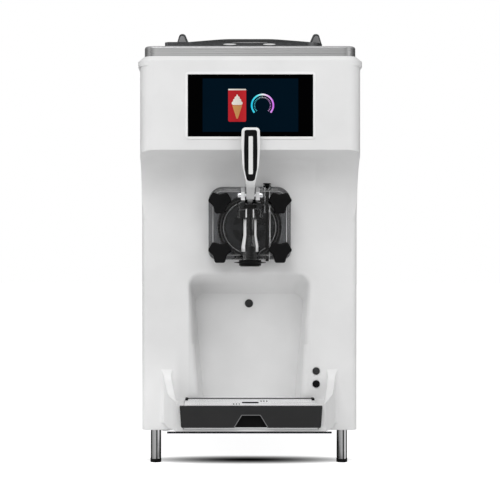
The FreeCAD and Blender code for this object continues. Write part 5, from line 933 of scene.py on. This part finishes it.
def doorGlints(look, rim):
    for side, start, stop in look["flanks"]:
        name = "leftFlankGlint" if side < 0 else "rightFlankGlint"
        place(name, flankMesh(look, side, start, stop), "cabinet", glintClear)
    bars = []
    for x, wide, near, foot, head in look["bars"]:
        bars.append(((x, near, foot), (x + wide, near + look["barThick"], head)))
    mesh = barsMesh("yokeGlints", bars, look["barBevel"])
    place("yokeGlints", mesh, "cabinet", glintClear)
    low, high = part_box("dispensing_door")
    left, right, bottom, top = low[0], high[0], high[2] - rim["tall"], high[2]
    outlines = []
    for inset in (rim["inset"], rim["inset"] + rim["wide"]):
        outlines.append(roundedOutline(left + inset, bottom + inset, right - inset, top - inset,
                                       rim["round"] + rim["inset"] - inset))
    front, back = rim["front"] - rim["proud"], rim["front"] + rim["sunk"]
    place("plateRimGlint", frameMesh("plateRimGlint", [outlines], front, back), "cabinet", glintClear)
    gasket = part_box("door_gasket")
    middle = (gasket[0][2] + gasket[1][2]) / 2
    turns = [2 * math.pi * i / rim["ringSteps"] for i in range(rim["ringSteps"])]
    rings = []
    for radius in rim["rings"]:
        rings.append([[(r * math.cos(a), middle + r * math.sin(a)) for a in turns]
                      for r in (radius, radius - rim["ringWide"])])
    place("grooveRimGlints", frameMesh("grooveRimGlints", rings, front, back), "cabinet", lineClear)


# painted highlights: bright strips on the front of the pivot ears and dimmer ones above them, and a black
# block standing for the shadowed slot under the lever
def pivotGlints(look):
    bright, dim = [], []
    for side in (-1, 1):
        left, right = sorted((side * look["near"], side * look["far"]))
        bright.append(((left, look["front"], look["low"]), (right, look["back"], look["split"])))
        dim.append(((left, look["front"] + look["hornBack"], look["split"] - look["hornLap"]),
                    (right, look["back"], look["high"])))
    place("pivotGlints", barsMesh("pivotGlints", bright, look["bevel"]), "cabinet", glintClear)
    place("pivotHorns", barsMesh("pivotHorns", dim, look["bevel"]), "cabinet", dimGlintClear)
    shadeBlock = [((-look["shadeHalf"], look["shadeFront"], look["shadeLow"]),
             (look["shadeHalf"], look["shadeBack"], look["shadeHigh"]))]
    place("yokeShadeBlock", barsMesh("yokeShadeBlock", shadeBlock, look["shadeBevel"]), "cabinet", rubberBlack)


doorGlints(glintLook, rimLook)
pivotGlints(pivotGlintLook)
print("door details made")

# painted light on the lid: pale faces on the ears, painted highlights along the front skirt, and a grey band
# above them
lidTrim = {"foot": (0.1198, 0.1055), "head": (0.1162, 0.1104), "low": 0.7116, "high": 0.7238, "round": 0.0026,
           "roundSide": 0.3, "roundTop": 0.5, "earFront": -0.1710, "skirt": -0.1880, "proud": 0.0003,
           "sunk": 0.0006,
           "skirtGlints": ((-0.0440, 0.7059, -0.0220, 0.7084), (0.0230, 0.7059, 0.0440, 0.7084)),
           "brow": ((-0.0300, 0.7092, 0.0310, 0.7108),)}
earGrey = mouldedFinish("earGrey", (0.25, 0.25, 0.255), 0.25, spread=0.25, grain=500.0, depth=0.00001)


def lensOutline(left, low, right, high, steps=12):
    middle, half, tall = (low + high) / 2, (right - left) / 2, (high - low) / 2
    points = []
    for i in range(2 * steps):
        a = math.pi * i / steps
        points.append((left + half - half * math.cos(a), middle + tall * math.sin(a)))
    return points


def lidDetails(look):
    outer, inner = look["foot"]
    topOuter, topInner = look["head"]
    low, high = look["low"], look["high"]
    shoulder = high - look["round"]
    beside, along = look["round"] * look["roundSide"], look["round"] * look["roundTop"]
    ear = ((outer, low), (topOuter + beside, shoulder), (topOuter - along, high),
           (topInner + along, high), (topInner - beside, shoulder), (inner, low))
    faces = [[(side * x, z) for x, z in ear] for side in (-1, 1)]
    front, back = look["earFront"] - look["proud"], look["earFront"] + look["sunk"]
    place("earFaces", platesMesh("earFaces", faces, front, back), "hopper_lid", earGrey)
    front, back = look["skirt"] - look["proud"], look["skirt"] + look["sunk"]
    for name, boxes, finish in (("lidSkirtGlints", look["skirtGlints"], glintClear),
                                ("lidBrow", look["brow"], earGrey)):
        lines = [lensOutline(*edges) for edges in boxes]
        place(name, platesMesh(name, lines, front, back), "hopper_lid", finish)


lidDetails(lidTrim)
print("lid details made")

# stage: pale floor, white surroundings, soft lamps
stageLook = {"size": 12.0, "floor": 0.84, "lift": 0.88, "ambient": 0.355,
             "room": ((0.0, 0.04), (0.20, 0.06), (0.27, 0.52), (0.485, 0.46), (0.52, 0.26), (0.60, 0.22),
                      (0.63, 0.60), (0.72, 0.60), (0.76, 0.02), (1.0, 0.02)),
             "ceiling": (0.34, 0.80, 0.5),
             "shadowAt": (0.0, -0.121), "shadowReach": (0.195, 0.050), "shadowFall": 2.6}


def seenDirectly(tree, rays):
    return calc(tree, "MAXIMUM", rays["Is Camera Ray"], rays["Is Transmission Ray"])


def stageMaterial():
    mat = bpy.data.materials.new("paleFloor")
    mat.use_nodes = True
    tree = mat.node_tree
    tree.nodes.clear()
    output = tree.nodes.new("ShaderNodeOutputMaterial")
    seen = seenDirectly(tree, add(tree, "ShaderNodeLightPath", {}))
    # the lift gives way to a soft contact shadow along the front legs
    centre, reach = stageLook["shadowAt"], stageLook["shadowReach"]
    shift = (-centre[0] / reach[0], -centre[1] / reach[1], 0)
    oval = objectPoint(tree, (1 / reach[0], 1 / reach[1], 1), shift)
    away = add(tree, "ShaderNodeVectorMath", {0: oval}, operation="LENGTH")["Value"]
    clear = calc(tree, "POWER", calc(tree, "MINIMUM", away, 1.0), stageLook["shadowFall"])
    lift = times(tree, seen, times(tree, clear, stageLook["lift"]))
    tone = times(tree, clear, stageLook["floor"])
    diffuse = add(tree, "ShaderNodeBsdfDiffuse", {"Color": tone})["BSDF"]
    glow = add(tree, "ShaderNodeEmission", {"Strength": lift})["Emission"]
    both = add(tree, "ShaderNodeAddShader", {0: diffuse, 1: glow})["Shader"]
    tree.links.new(both, output.inputs["Surface"])
    return mat


def stageFloor():
    mesh = bpy.data.meshes.new("paleFloor")
    size = stageLook["size"]
    corners = [(-size, -size, 0), (size, -size, 0), (size, size, 0), (-size, size, 0)]
    mesh.from_pydata(corners, [], [(0, 1, 2, 3)])
    mesh.materials.append(stageMaterial())
    return intoScene("paleFloor", mesh)


def stageWorld():
    world = bpy.data.worlds.new("whiteRoom")
    world.use_nodes = True
    tree = world.node_tree
    back = tree.nodes["Background"]
    back.inputs["Color"].default_value = (1, 1, 1, 1)
    rays = add(tree, "ShaderNodeLightPath", {})
    ambient = stageLook["ambient"]
    level = calc(tree, "ADD", times(tree, seenDirectly(tree, rays), 1 - ambient), ambient)
    # reflections show a room with pale and dark walls round the object and a bright ceiling
    way = axes(tree, add(tree, "ShaderNodeTexCoord", {})["Generated"])
    turn = calc(tree, "ARCTAN2", way["X"], times(tree, way["Y"], -1.0))
    walls = shades(tree, rise(tree, turn, -math.pi, math.pi), greys(stageLook["room"]))
    low, high, glow = stageLook["ceiling"]
    room = calc(tree, "MAXIMUM", walls, span(tree, way["Z"], 0.0, glow, low, high))
    gloss = rays["Is Glossy Ray"]
    plain = times(tree, level, calc(tree, "SUBTRACT", 1.0, gloss))
    strength = calc(tree, "ADD", plain, times(tree, gloss, room))
    tree.links.new(strength, back.inputs["Strength"])
    bpy.context.scene.world = world


lampLook = {
    "keyLamp": {"at": (-0.6, -2.3, 2.7), "size": 2.2, "power": 47.0},
    "fillLamp": {"at": (1.9, -2.2, 1.3), "size": 1.8, "power": 15.5},
    "sideLamp": {"at": (-2.2, -1.1, 0.7), "size": 1.4, "power": 6.0},
    "topLamp": {"at": (0.0, 0.3, 2.8), "size": 2.0, "power": 7.0},
}
lampAim = (0, 0, 0.38)


def stageLamps():
    made = []
    for name, look in lampLook.items():
        data = bpy.data.lights.new(name, "AREA")
        data.shape = "SQUARE"
        data.size = look["size"]
        data.energy = look["power"]
        obj = intoScene(name, data)
        obj.location = look["at"]
        aim = Vector(lampAim) - Vector(look["at"])
        obj.rotation_euler = aim.to_track_quat("-Z", "Y").to_euler()
        made.append(obj)
    return made


cameraLook = {"at": (-0.048, -2.467, 0.362), "lens": 97.8, "shift": 0.0584, "sensor": 36.0, "clip": 60.0}


def stageCamera():
    data = bpy.data.cameras.new("photoCamera")
    data.sensor_width = cameraLook["sensor"]
    data.lens = cameraLook["lens"]
    data.shift_x = cameraLook["shift"]
    data.clip_end = cameraLook["clip"]
    obj = intoScene("photoCamera", data)
    obj.location = cameraLook["at"]
    obj.rotation_euler = (math.radians(90), 0, 0)
    bpy.context.scene.camera = obj
    return obj


stageWorld()
stageFloor()
stageLamps()
stageCamera()
bpy.context.scene.view_settings.view_transform = "Standard"
print("stage set")
